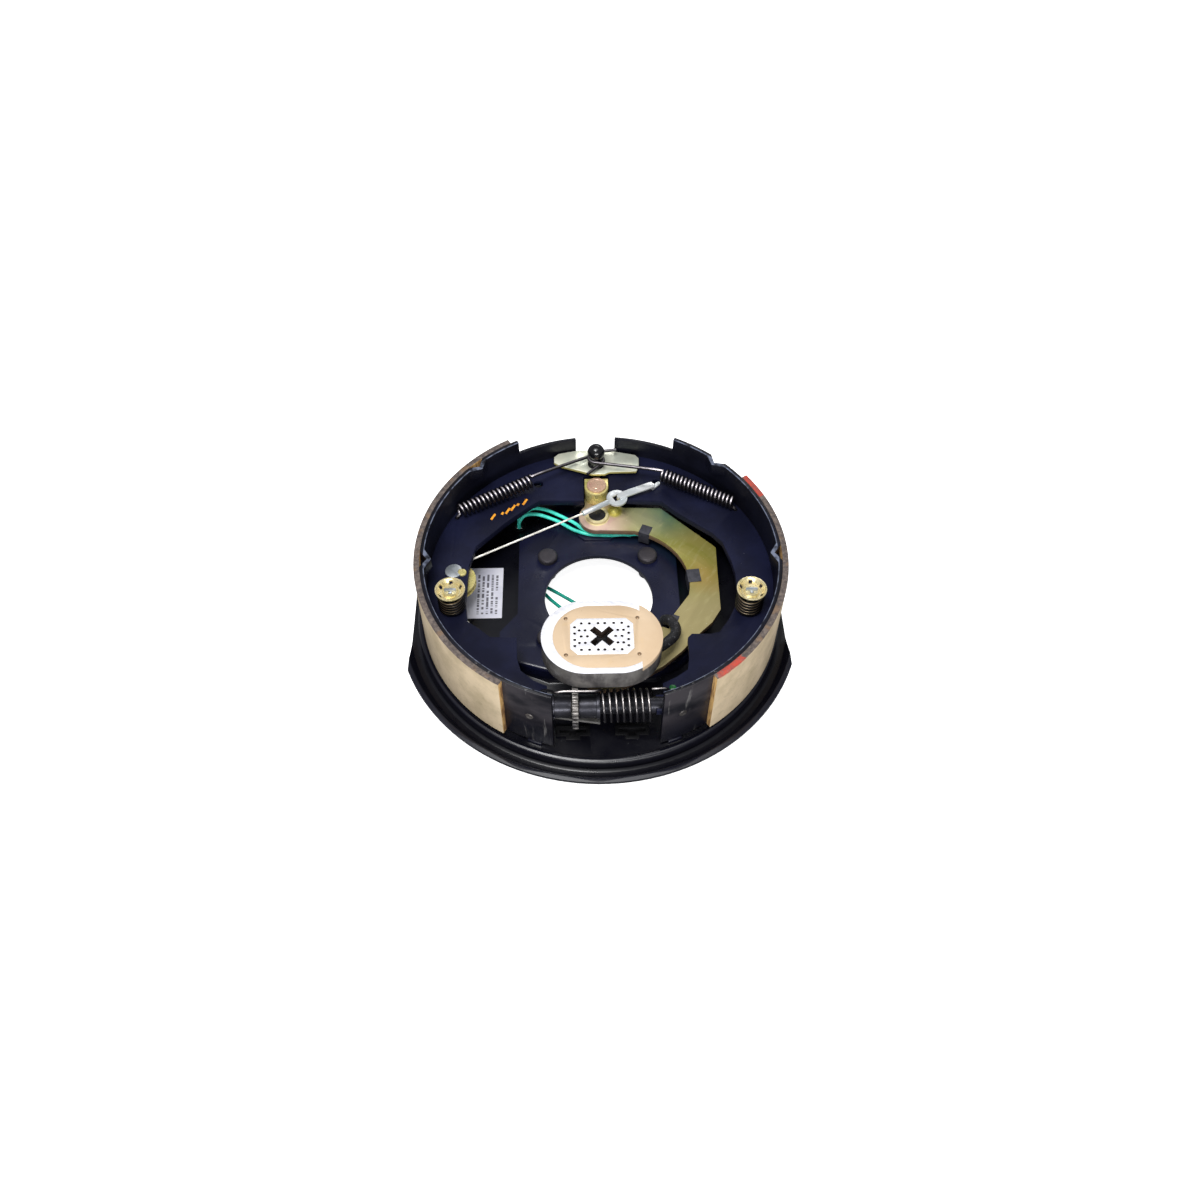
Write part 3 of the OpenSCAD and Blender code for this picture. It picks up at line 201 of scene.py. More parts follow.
def arc(centre, radius, z, start, end, steps):
    """Points on a level circle from start to end, in degrees."""
    out = []
    for i in range(steps + 1):
        turn = math.radians(start + (end - start) * i / steps)
        out.append(Vector((centre.x + radius * math.cos(turn), centre.y + radius * math.sin(turn), z)))
    return out


def lathe(name, profile, centre, sides, axis=UP):
    """A closed turned shape. profile is (radius, height) from the axis round to the axis again."""
    turn_to = UP.rotation_difference(axis).to_matrix()
    verts, faces, rings = [], [], []
    for r, z in profile:
        if r < 1e-7:
            rings.append([len(verts)] * sides)
            verts.append(centre + turn_to @ Vector((0, 0, z)))
            continue
        rings.append([len(verts) + k for k in range(sides)])
        for k in range(sides):
            turn = math.tau * k / sides
            verts.append(centre + turn_to @ Vector((r * math.cos(turn), r * math.sin(turn), z)))
    for low, high in zip(rings, rings[1:]):
        for k in range(sides):
            n = (k + 1) % sides
            corners = []
            for v in (low[k], low[n], high[n], high[k]):
                if v not in corners:
                    corners.append(v)
            if len(corners) > 2:
                faces.append(tuple(corners))
    mesh = mesh_from(name, verts, faces)
    work = bmesh.new()
    work.from_mesh(mesh)
    bmesh.ops.recalc_face_normals(work, faces=work.faces)
    work.to_mesh(mesh)
    work.free()
    return mesh


def joined(name, meshes):
    """One mesh that holds several."""
    work = bmesh.new()
    for mesh in meshes:
        work.from_mesh(mesh)
        bpy.data.meshes.remove(mesh)
    out = bpy.data.meshes.new(name)
    work.to_mesh(out)
    work.free()
    return out


def cad_mesh(node):
    """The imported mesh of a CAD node, with its split corners and faces joined up."""
    work = bmesh.new()
    work.from_mesh(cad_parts[node].data)
    bmesh.ops.remove_doubles(work, verts=work.verts, dist=MERGE)
    bmesh.ops.dissolve_limit(work, angle_limit=FLAT, verts=work.verts, edges=work.edges)
    return work


def rounded(work, edges, radius, segments, clamp=True):
    bmesh.ops.bevel(work, geom=edges, offset=radius, offset_type="OFFSET", segments=segments, profile=0.5,
                    affect="EDGES", clamp_overlap=clamp, loop_slide=True)


def settled(name, work):
    """The edited mesh, with no material of the CAD's on it."""
    mesh = bpy.data.meshes.new(name)
    work.to_mesh(mesh)
    work.free()
    mesh.materials.clear()
    return mesh


def finished(node, material, body, bevel):
    """The CAD node as a piece with its edges rounded, which stands for it."""
    work = cad_mesh(node)
    if bevel:
        edges = [e for e in work.edges if len(e.link_faces) == 2 and e.calc_face_angle(0) > SHARP]
        rounded(work, edges, bevel, 2)
    mesh = settled(node + "_finished", work)
    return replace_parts(piece(node + "_finished", mesh, material, body), node)


# Materials


def tone(red, green, blue):
    """A linear colour from display values of 0 to 255."""
    values = [c / 255 for c in (red, green, blue)]
    return tuple(c / 12.92 if c <= 0.04045 else ((c + 0.055) / 1.055) ** 2.4 for c in values) + (1.0,)


class Look:
    """A material whose nodes are made by short calls. Its patterns read the piece's own coordinates."""

    def __init__(self, name):
        self.material = bpy.data.materials.new(name)
        self.material.use_nodes = True
        self.tree = self.material.node_tree
        self.tree.nodes.clear()
        coordinates = self.add("ShaderNodeTexCoord")
        self.place = coordinates.outputs["Object"]
        self.normal = coordinates.outputs["Normal"]

    def add(self, kind, inputs=None, **settings):
        node = self.tree.nodes.new(kind)
        for key, value in settings.items():
            setattr(node, key, value)
        for key, value in (inputs or {}).items():
            self.feed(node.inputs[key], value)
        return node

    def feed(self, socket, value):
        if isinstance(value, bpy.types.NodeSocket):
            self.tree.links.new(value, socket)
        else:
            socket.default_value = value

    def stretched(self, scale=(1, 1, 1), turn=(0, 0, 0)):
        """The piece's coordinates, turned and then stretched."""
        turned = self.add("ShaderNodeVectorRotate", {"Vector": self.place, "Rotation": turn},
                          rotation_type="EULER_XYZ").outputs[0]
        return self.vector("MULTIPLY", turned, scale).outputs[0]

    def noise(self, scale, detail=3.0, rough=0.55, at=None, distort=0.0):
        return self.add("ShaderNodeTexNoise", {"Vector": at or self.place, "Scale": scale, "Detail": detail,
                                               "Roughness": rough, "Distortion": distort}).outputs["Fac"]

    def cells(self, scale):
        cells = self.add("ShaderNodeTexVoronoi", {"Vector": self.place, "Scale": scale}, feature="F1")
        return cells.outputs["Distance"]

    def clouds(self, scale, detail, low, high):
        """Noise that is 0 below low and 1 above high."""
        return self.level(self.noise(scale, detail), low, high)

    def grain(self, scale, depth):
        """A normal with fine grain, depth in millimetres."""
        return self.bump(self.noise(scale, 2), depth * MM)

    def maths(self, operation, a, b=0.0):
        return self.add("ShaderNodeMath", {0: a, 1: b}, operation=operation).outputs[0]

    def level(self, value, low, high):
        """0 below low, 1 above high."""
        return self.add("ShaderNodeMapRange", {"Value": value, "From Min": low, "From Max": high},
                        interpolation_type="SMOOTHSTEP").outputs[0]

    def both(self, a, b):
        return self.maths("MULTIPLY", a, b)

    def either(self, a, b):
        return self.maths("MAXIMUM", a, b)

    def no(self, a):
        return self.maths("SUBTRACT", 1.0, a)

    def line(self, value, slope, start):
        """slope times value, plus start."""
        return self.maths("ADD", self.maths("MULTIPLY", value, slope), start)

    def mix(self, share, a, b):
        """A colour between two. Each of them is a socket, or display values of 0 to 255."""
        node = self.add("ShaderNodeMix", data_type="RGBA")
        sockets = [s for s in node.inputs if s.type == "RGBA"]
        self.feed(node.inputs[0], share)
        for socket, colour in zip(sockets, (a, b)):
            self.feed(socket, tone(*colour) if isinstance(colour, tuple) else colour)
        return [s for s in node.outputs if s.type == "RGBA"][0]

    def over(self, colour, where, share, red, green, blue):
        """The colour, with another one in display values laid over it, at most share of it."""
        return self.mix(self.maths("MULTIPLY", where, share), colour, (red, green, blue))

    def part(self, value, axis):
        return self.add("ShaderNodeSeparateXYZ", {0: value}).outputs[axis]

    def along(self, axis):
        return self.part(self.place, axis)

    def vector(self, operation, a, b=None):
        inputs = {0: a} if b is None else {0: a, 1: b}
        return self.add("ShaderNodeVectorMath", inputs, operation=operation)

    def from_shoe_centre(self):
        """The distance from the axis of the shoes."""
        offset = self.vector("ADD", self.place, tuple(-SHOE_CENTRE)).outputs[0]
        level = self.vector("MULTIPLY", offset, (1, 1, 0)).outputs[0]
        return self.vector("LENGTH", level).outputs["Value"]

    def near(self, centre, radius, soft=0.3, ragged=0.0, scale=(1, 1, 1)):
        """1 within radius of a place, with a soft or ragged edge. scale flattens the ball."""
        offset = self.vector("ADD", self.place, tuple(-c for c in centre)).outputs[0]
        flat = self.vector("MULTIPLY", offset, scale).outputs[0]
        away = self.vector("LENGTH", flat).outputs["Value"]
        if ragged:
            wander = self.maths("SUBTRACT", self.noise(1.6 / radius), 0.5)
            away = self.maths("ADD", away, self.maths("MULTIPLY", wander, ragged * radius * 2))
        return self.no(self.level(away, radius * (1 - soft), radius * (1 + soft)))

    def bump(self, height, distance, under=None):
        inputs = {"Height": height, "Distance": distance, "Strength": 1.0}
        if under:
            inputs["Normal"] = under
        return self.add("ShaderNodeBump", inputs).outputs[0]

    def done(self, colour, roughness, metallic=0.0, normal=None, **more):
        inputs = {"Base Color": colour, "Roughness": roughness, "Metallic": metallic}
        if normal:
            inputs["Normal"] = normal
        inputs.update({key.replace("_", " "): value for key, value in more.items()})
        shader = self.add("ShaderNodeBsdfPrincipled", inputs)
        output = self.add("ShaderNodeOutputMaterial")
        self.tree.links.new(shader.outputs[0], output.inputs["Surface"])
        return self.material


def black_paint(name, base, light, rough, shine_level, deep=None):
    """Semi-gloss black paint with a navy cast, fine orange peel, dust and a few light nicks.

    deep, if given, is its colour down on the plate's floor: painted shade, darker there than on the pad."""
    look = Look(name)
    cloud = look.clouds(28, 4, 0.35, 0.7)
    dust = look.level(look.noise(900, 2, 0.7), 0.68, 0.8)
    nick = look.both(look.level(look.cells(190), 0.055, 0.03), look.level(look.noise(35), 0.6, 0.66))
    colour = look.mix(cloud, base, light)
    # Painted shade: below the pad, down on the floor, the paint turns to deep.
    if deep:
        colour = look.mix(look.level(look.along(2), -8 * MM, -1 * MM), deep, colour)
    colour = look.over(colour, dust, 0.08, 92, 96, 116)
    colour = look.over(colour, nick, 0.5, 150, 150, 158)
    shine = look.line(look.noise(120, 3), 0.16, rough - 0.08)
    shine = look.maths("ADD", shine, look.maths("MULTIPLY", dust, 0.15))
    peel = look.grain(1100, 0.012)
    peel = look.bump(look.noise(60, 2), 0.05 * MM, under=peel)
    return look.done(colour, shine, normal=peel, Specular_IOR_Level=shine_level)


def table_look():
    """Black paint of the tables: a painted highlight along the inner top edge, and grey rubbed places near
    the adjuster that also carry a painted sheen, lighter towards the top.
    """
    look = Look("table_paint")
    radius = look.from_shoe_centre()
    height = look.along(2)
    colour = look.mix(look.clouds(28, 4, 0.35, 0.7), (9, 9, 17), (17, 18, 30))
    # Painted highlight: a light line along the inner top edge, broken up by noise.
    inner = look.level(radius, RIM_R + 0.75 * MM, RIM_R + 0.25 * MM)
    crest = look.level(height, SHOE_TOP - 0.75 * MM, SHOE_TOP - 0.3 * MM)
    line = look.both(look.both(inner, crest), look.clouds(170, 3, 0.3, 0.6))
    colour = look.over(colour, line, 0.75, 128, 136, 158)
    # Grey rubbed smears near the ends, partly painted sheen: the mask grows lighter towards the top.
    ends = look.level(look.along(1), -78 * MM, -98 * MM)
    outside = look.level(radius, TABLE_R - 0.4 * MM, TABLE_R - 0.1 * MM)
    rub = look.level(look.noise(42, 4, 0.6, look.stretched((0.5, 0.5, 1))), 0.36, 0.62)
    rub = look.both(rub, look.level(height, -4 * MM, 34 * MM))
    rub = look.both(rub, look.both(ends, outside))
    colour = look.over(colour, rub, 0.6, 72, 68, 72)
    scratch = look.level(look.noise(300, 3, at=look.stretched((1, 1, 0.12))), 0.62, 0.72)
    colour = look.over(colour, look.both(scratch, ends), 0.35, 150, 148, 146)
    shine = look.line(look.noise(120, 3), 0.16, 0.28)
    peel = look.grain(1100, 0.012)
    peel = look.bump(look.noise(60, 2), 0.06 * MM, under=peel)
    return look.done(colour, shine, normal=peel, Specular_IOR_Level=0.28)


def plain_metal(name, base, dark, rough, metallic=0.9, streak=(1, 1, 1), spots=0.3):
    """Bare or plated metal with cloudy colour, fine streaks and small dark spots."""
    look = Look(name)
    grain = look.noise(500, 3, at=look.stretched(streak))
    cloud = look.noise(70, 4)
    colour = look.mix(look.level(cloud, 0.35, 0.7), base, dark)
    colour = look.mix(look.maths("MULTIPLY", look.level(grain, 0.45, 0.8), 0.5), colour, dark)
    speck = look.maths("MULTIPLY", look.clouds(420, 2, 0.68, 0.76), spots)
    colour = look.mix(speck, colour, (60, 54, 50))
    shine = look.line(grain, 0.25, rough - 0.1)
    return look.done(colour, shine, metallic, normal=look.bump(grain, 0.02 * MM))


def wire_steel(name, dark, bright, low, high, highlight_off=()):
    """Oiled spring wire: black below and in between, with a painted highlight where it faces up and to the
    front, towards the key light.

    The last argument holds (centre, radius) of places where the painted highlight is mostly taken away."""
    look = Look(name)
    # Painted highlight: the wire is lighter where it faces the key light, in patches of noise.
    toward_key_light = look.vector("DOT_PRODUCT", look.normal, (-0.12, -0.34, 0.93)).outputs["Value"]
    top = look.level(toward_key_light, low, high)
    highlight_patches = look.clouds(260, 3, 0.3, 0.6)
    top = look.both(top, look.line(highlight_patches, 0.35, 0.65))
    for centre, radius in highlight_off:
        faded = look.maths("MULTIPLY", look.near(centre, radius, 0.12), 0.75)
        top = look.both(top, look.no(faded))
    colour = look.mix(top, dark, bright)
    shine = look.line(look.noise(400, 2), 0.12, 0.24)
    metal = look.line(top, 0.2, 0.4)
    return look.done(colour, shine, metal, normal=look.grain(900, 0.008))


def lining_look():
    """Moulded lining: khaki rubbing face, tan ends, and a brown grey edge that was ground, with red paint."""
    look = Look("lining")
    radius = look.from_shoe_centre()
    outer = look.level(radius, LINING_R - 0.35 * MM, LINING_R - 0.1 * MM)
    top = look.level(look.along(2), SHOE_TOP - 0.35 * MM, SHOE_TOP - 0.1 * MM)
    cloud = look.noise(45, 5, 0.6)
    fine = look.noise(650, 3, 0.7)
    fibre = look.noise(420, 2, at=look.stretched((1, 1, 0.18)))
    face = look.mix(look.level(cloud, 0.35, 0.65), (216, 196, 164), (190, 172, 140))
    face = look.over(face, look.level(fine, 0.6, 0.75), 0.45, 128, 116, 92)
    face = look.over(face, look.clouds(150, 4, 0.6, 0.75), 0.35, 150, 138, 110)
    end = look.mix(look.level(fibre, 0.4, 0.65), (200, 160, 100), (132, 96, 58))
    colour = look.mix(outer, end, face)
    scratched = look.noise(380, 4, 0.7)
    edge = look.mix(look.level(scratched, 0.35, 0.7), (74, 66, 64), (116, 104, 96))
    edge = look.over(edge, look.clouds(130, 3, 0.55, 0.7), 0.5, 134, 106, 76)
    colour = look.mix(top, colour, edge)
    rest = look.near(point(110.9, 60.5, 52), 11 * MM, 0.05, 0.25)
    smear = look.near(point(80.5, -93, 52), 11 * MM, 0.06, 0.75)
    paint = look.both(look.either(rest, smear), look.level(look.along(2), SHOE_TOP - 2.2 * MM, SHOE_TOP))
    thin = look.line(look.level(look.noise(260, 4, 0.7), 0.35, 0.6), 0.5, 0.45)
    colour = look.mix(look.both(paint, thin), colour, (182, 66, 50))
    rough = look.bump(fine, 0.12 * MM)
    rough = look.bump(cloud, 0.3 * MM, under=rough)
    return look.done(colour, 0.82, normal=rough)


def arm_look():
    """Yellow zinc plate with its rainbow film: pink by the pivot, green along the top, olive gold below."""
    look = Look("arm_zinc")
    drift = look.noise(22, 3, 0.6, distort=1.2)
    streak = look.noise(300, 3, at=look.stretched((0.25, 1, 1), (0, 0, math.radians(-52))))
    blotch = look.noise(95, 3)
    gold = look.mix(look.level(drift, 0.35, 0.65), (158, 148, 80), (138, 134, 54))
    low = look.level(look.along(1), 16 * MM, -22 * MM)
    colour = look.over(gold, low, 0.85, 176, 162, 116)
    bronze = look.near(point(74, 8, 16), 12 * MM, 0.9, 0.6)
    colour = look.over(colour, bronze, 0.4, 176, 132, 72)
    green = look.near(point(50, 76, 16), 23 * MM, 0.9)
    teal = look.mix(look.level(blotch, 0.35, 0.65), (112, 150, 118), (84, 130, 118))
    colour = look.mix(look.maths("MULTIPLY", green, 0.95), colour, teal)
    silver = look.near(point(32, 63, 16), 13 * MM, 0.9)
    colour = look.over(colour, silver, 0.6, 192, 186, 142)
    blush = look.near(point(-1, 57, 16), 19 * MM, 0.7)
    pink = look.mix(look.level(blotch, 0.4, 0.62), (236, 204, 188), (222, 178, 176))
    colour = look.mix(look.maths("MULTIPLY", blush, 0.85), colour, pink)
    ring = look.near(PIVOT + UP * 18 * MM, 9.2 * MM, 0.04)
    colour = look.over(colour, ring, 0.8, 236, 226, 168)
    dimple = look.near(point(13.1, 69.8, 17), 5.6 * MM, 0.3)
    colour = look.over(colour, dimple, 0.8, 204, 196, 74)
    edge = look.level(look.along(2), 15.6 * MM, 15.2 * MM)
    colour = look.over(colour, edge, 0.75, 150, 112, 92)
    colour = look.over(colour, look.level(streak, 0.5, 0.8), 0.25, 206, 198, 146)
    speck = look.clouds(600, 2, 0.7, 0.78)
    colour = look.over(colour, speck, 0.35, 230, 228, 200)
    shine = look.line(streak, 0.25, 0.3)
    return look.done(colour, shine, 0.35, normal=look.bump(streak, 0.03 * MM))


def gold_zinc(name, base, tint, warm, metallic):
    """Yellow zinc on small pressings, with soft warm and green clouds."""
    look = Look(name)
    drift = look.noise(110, 2, distort=0.6)
    colour = look.mix(look.level(drift, 0.35, 0.7), base, tint)
    cloud = look.clouds(150, 2, 0.5, 0.75)
    colour = look.mix(look.maths("MULTIPLY", cloud, 0.45), colour, warm)
    shine = look.line(look.noise(500, 2), 0.16, 0.2)
    return look.done(colour, shine, metallic, normal=look.grain(700, 0.01))


def pale_zinc():
    """Pale yellow zinc of the plate on the anchor post, with a grey smudge on its right wing."""
    look = Look("pale_zinc")
    colour = look.mix(look.clouds(90, 3, 0.35, 0.7), (246, 246, 224), (224, 230, 212))
    smudge = look.near(point(17, 109, 30.8), 9 * MM, 0.6, 0.4, (0.6, 1.6, 1))
    colour = look.over(colour, smudge, 0.35, 110, 116, 118)
    edge = look.level(look.along(2), 30.5 * MM, 30.1 * MM)
    colour = look.mix(edge, colour, (206, 196, 120))
    shine = look.line(look.noise(400, 2), 0.2, 0.22)
    return look.done(colour, shine, 0.45, normal=look.bump(look.noise(300, 3), 0.03 * MM))


def lead_look(name, base, deep, painted_glow):
    """Glossy lead insulation, with a painted glow of its own colour that lifts it where it lies in shade."""
    look = Look(name)
    colour = look.mix(look.clouds(240, 3, 0.4, 0.7), base, deep)
    colour = look.over(colour, look.clouds(700, 2, 0.66, 0.76), 0.4, 30, 60, 60)
    # Painted light: the emission of the base colour makes the lead glow faintly.
    return look.done(colour, 0.34, normal=look.grain(500, 0.02), Coat_Weight=0.3,
                     Emission_Color=tone(*base), Emission_Strength=painted_glow)


def sleeve_look():
    look = Look("sleeve")
    thread = look.noise(1500, 2, at=look.stretched((1, 1, 3)))
    colour = look.mix(look.level(thread, 0.4, 0.7), (14, 14, 16), (40, 40, 44))
    # Painted highlight: light flecks on the braid stand for glints on its threads.
    colour = look.mix(look.clouds(900, 2, 0.62, 0.7), colour, (118, 118, 124))
    return look.done(colour, 0.55, normal=look.bump(thread, 0.05 * MM))


def clip_look():
    look = Look("clip_plastic")
    colour = look.mix(look.clouds(300, 3, 0.4, 0.7), (58, 58, 66), (42, 42, 50))
    return look.done(colour, 0.55, normal=look.grain(900, 0.04))


def rubber_look():
    look = Look("rubber")
    colour = look.mix(look.noise(300, 3), (11, 11, 13), (20, 20, 23))
    return look.done(colour, 0.45, normal=look.grain(900, 0.03), Specular_IOR_Level=0.2)


def magnet_shell():
    """Cast and ground shell: bright rim on top, dark grey sides with rubbed marks."""
    look = Look("magnet_shell")
    top = look.level(look.along(2), MAGNET_TOP - 0.6 * MM, MAGNET_TOP - 0.2 * MM)
    brushed = look.noise(600, 3, at=look.stretched((0.15, 1, 1), (0, 0, math.radians(25))))
    bright = look.mix(look.level(brushed, 0.4, 0.8), (238, 238, 242), (216, 218, 226))
    cloud = look.noise(80, 4, 0.65)
    side = look.mix(look.level(cloud, 0.35, 0.65), (150, 146, 142), (104, 100, 100))
    rub = look.noise(240, 3, at=look.stretched((1, 1, 0.2)))
    side = look.over(side, look.level(rub, 0.55, 0.75), 0.5, 176, 172, 168)
    colour = look.mix(top, side, bright)
    shine = look.line(top, 0.1, 0.4)
    metal = look.maths("SUBTRACT", 0.7, look.maths("MULTIPLY", top, 0.45))
    return look.done(colour, shine, metal, normal=look.bump(cloud, 0.1 * MM))


def magnet_core_look():
    """Bright core, with painted shade inside its perforations and cross slot."""
    look = Look("magnet_core")
    colour = look.mix(look.clouds(200, 3, 0.4, 0.7), (242, 242, 245), (226, 226, 232))
    # Painted shade: the core is dark below its face, inside the perforations and the cross slot.
    below = look.level(look.along(2), MAGNET_TOP - 0.12 * MM, MAGNET_TOP - 0.4 * MM)
    colour = look.mix(below, colour, (54, 44, 38))
    return look.done(colour, 0.5, look.maths("SUBTRACT", 0.3, look.maths("MULTIPLY", below, 0.25)),
                     normal=look.grain(500, 0.02))


def friction_look():
    """Beige moulded friction face with faint stains and flecks, and dark dots of painted shade over its four
    small holes.
    """
    look = Look("magnet_friction")
    colour = look.mix(look.clouds(30, 4, 0.3, 0.7), (208, 184, 154), (198, 172, 140))
    colour = look.over(colour, look.clouds(130, 4, 0.6, 0.75), 0.4, 206, 176, 132)
    colour = look.over(colour, look.clouds(900, 2, 0.68, 0.78), 0.4, 150, 126, 96)
    # Painted shade: a dark dot over each of the four small holes in the face.
    for x, y in ((-22.8, 14.1), (22.9, 14.1), (-22.8, -14.1), (22.9, -14.1)):
        dot = look.near(MAGNET + point(x, y, 57), 1.25 * MM, 0.25)
        colour = look.mix(dot, colour, (70, 50, 34))
    return look.done(colour, 0.72, normal=look.bump(look.noise(800, 3), 0.04 * MM))


def copper_look():
    look = Look("copper")
    colour = look.mix(look.noise(400, 2), (190, 110, 60), (140, 80, 44))
    return look.done(colour, 0.35, 0.9, normal=look.grain(800, 0.02))


def paper_look():
    """A printed label: columns of broken grey bars that stand for print, with no letters."""
    look = Look("paper")
    columns = 5
    left, width = -88 * MM, 16.4 * MM
    across = look.maths("MULTIPLY", look.maths("SUBTRACT", look.along(0), left), columns / width)
    column = look.maths("FLOOR", across)
    inside = look.maths("FRACT", across)
    line = look.both(look.level(inside, 0.24, 0.26), look.level(inside, 0.76, 0.74))
    spot = look.add("ShaderNodeCombineXYZ", {0: look.maths("MULTIPLY", column, 7.3),
                                             1: look.maths("MULTIPLY", look.along(1), 620)}).outputs[0]
    broken = look.level(look.noise(1.0, 0, at=spot), 0.44, 0.47)
    y = look.along(1)
    inside_height = look.both(look.level(y, -5.5 * MM, -5.2 * MM), look.level(y, 31 * MM, 30.6 * MM))
    inside_width = look.both(look.level(across, 0.0, 0.01), look.level(across, columns, columns - 0.01))
    ink = look.both(look.both(line, broken), look.both(inside_height, inside_width))
    sheet = look.mix(look.clouds(60, 3, 0.4, 0.7), (226, 226, 236), (206, 206, 220))
    colour = look.over(sheet, ink, 0.85, 52, 50, 60)
    return look.done(colour, 0.6, normal=look.bump(look.noise(600, 3), 0.02 * MM))


def daub(name, base, deep, rough):
    """A daub of paint or ink with uneven cover."""
    look = Look(name)
    colour = look.mix(look.clouds(420, 3, 0.4, 0.65), base, deep)
    return look.done(colour, rough, normal=look.grain(700, 0.02))


# Places where the return springs' painted highlight is mostly taken away, so the wire stays dark: the long
# hooks, and the ends in the webs
HIGHLIGHT_OFF_WIRE = (
    (ANCHOR + UP * 34 * MM, 44 * MM),
    (point(101.5, 60.5, 30), 3.6 * MM),
    (point(-101.7, 56.1, 30), 3.6 * MM),
)
LOOKS = {
    "web_paint": black_paint("web_paint", (15, 17, 36), (24, 27, 52), 0.5, 0.14),
    "table_paint": table_look(),
    # The last colour of the plate paint is painted shade for its floor.
    "plate_paint": black_paint("plate_paint", (14, 16, 38), (20, 23, 50), 0.3, 0.5, (7, 7, 16)),
    "post_paint": black_paint("post_paint", (9, 9, 11), (14, 14, 18), 0.2, 0.6),
    "stud_steel": plain_metal("stud_steel", (76, 72, 76), (56, 54, 60), 0.4, 0.5),
    "weld": plain_metal("weld_mark", (120, 114, 110), (40, 38, 40), 0.35, 0.5),
    "pin_steel": plain_metal("pin_steel", (60, 58, 60), (34, 34, 38), 0.42, 0.6),
    "zinc": plain_metal("bright_zinc", (240, 242, 242), (206, 212, 214), 0.32, 0.6, (1, 1, 1), 0.1),
    "silver": plain_metal("silver_steel", (206, 210, 214), (158, 166, 172), 0.36, 0.85),
    "lever_steel": plain_metal("lever_steel", (196, 194, 190), (140, 138, 136), 0.36, 0.85),
    "adjuster": plain_metal("adjuster_steel", (66, 66, 74), (34, 34, 38), 0.32, 0.7, (0.2, 1, 1)),
    "star": plain_metal("star_steel", (150, 146, 142), (44, 42, 44), 0.36, 0.6),
    "pink_zinc": gold_zinc("pink_zinc", (206, 172, 146), (194, 154, 134), (182, 136, 126), 0.3),
    "gold_zinc": gold_zinc("gold_zinc", (222, 208, 140), (200, 190, 112), (220, 186, 150), 0.4),
    "cup_zinc": gold_zinc("cup_zinc", (240, 226, 180), (206, 190, 134), (236, 210, 160), 0.6),
    # The three wire looks carry a painted highlight where the wire faces the key light.
    "spring": wire_steel("spring_wire", (24, 22, 27), (222, 214, 220), 0.76, 0.99, HIGHLIGHT_OFF_WIRE),
    "hold_wire": wire_steel("hold_wire", (15, 13, 15), (150, 132, 106), 0.82, 1.06),
    "coil_wire": wire_steel("coil_wire", (34, 32, 36), (190, 184, 182), 0.76, 1.02),
    "cable": plain_metal("cable_steel", (250, 248, 240), (226, 222, 212), 0.38, 0.4),
    "lining": lining_look(),
    "arm": arm_look(),
    "pale_zinc": pale_zinc(),
    "lead": lead_look("lead_insulation", (92, 250, 226), (66, 228, 204), 0.06),
    # Painted shade: the free leads are the magnet leads' insulation in a darker copy, for the shade under the
    # plate; they carry the painted glow too.
    "free_lead": lead_look("lead_insulation_shaded", (30, 168, 146), (20, 138, 118), 0.05),
    "sleeve": sleeve_look(),
    "clip": clip_look(),
    "rubber": rubber_look(),
    "shell": magnet_shell(),
    "core": magnet_core_look(),
    "friction": friction_look(),
    "copper": copper_look(),
    "paper": paper_look(),
    "ink": daub("orange_ink", (250, 172, 44), (224, 140, 30), 0.6),
    "green": daub("green_paint", (20, 92, 40), (12, 64, 30), 0.25),
}


# Camera, floor and light


def make_camera():
    e, a, roll = CAMERA_ELEVATION, CAMERA_AZIMUTH, CAMERA_ROLL
    back = Vector((math.sin(a) * math.cos(e), -math.cos(a) * math.cos(e), math.sin(e)))
    level = Vector((math.cos(a), math.sin(a), 0))
    above = back.cross(level)
    right = level * math.cos(roll) + above * math.sin(roll)
    top = above * math.cos(roll) - level * math.sin(roll)
    data = bpy.data.cameras.new("camera")
    data.sensor_width = 36
    data.lens = CAMERA_LENS
    data.clip_start, data.clip_end = 0.01, 100
    camera = bpy.data.objects.new("camera", data)
    bpy.context.scene.collection.objects.link(camera)
    camera.matrix_world = Matrix.Translation(CAMERA_TARGET + back * CAMERA_DISTANCE) @ Matrix(
        (right, top, back)).transposed().to_4x4()
    bpy.context.scene.camera = camera


def make_floor():
    half = 6.0
    corners = [(-half, -half, FLOOR_Z), (half, -half, FLOOR_Z), (half, half, FLOOR_Z), (-half, half, FLOOR_Z)]
    mesh = mesh_from("floor", corners, [(0, 1, 2, 3)])
    look = Look("floor")
    white = look.mix(look.noise(3, 2), (248, 248, 248), (252, 252, 252))
    floor = bpy.data.objects.new("floor", mesh)
    floor.data.materials.append(look.done(white, 0.9, Emission_Color=(1, 1, 1, 1), Emission_Strength=0.9))
    floor.visible_diffuse = False
    floor.visible_glossy = False
    bpy.context.scene.collection.objects.link(floor)


def soft_light(name, place, size, power):
    data = bpy.data.lights.new(name, "AREA")
    data.shape = "RECTANGLE"
    data.size, data.size_y = size
    data.energy = power
    light = bpy.data.objects.new(name, data)
    light.location = place
    light.rotation_mode = "QUATERNION"
    light.rotation_quaternion = (CAMERA_TARGET - Vector(place)).to_track_quat("-Z", "Y")
    bpy.context.scene.collection.objects.link(light)


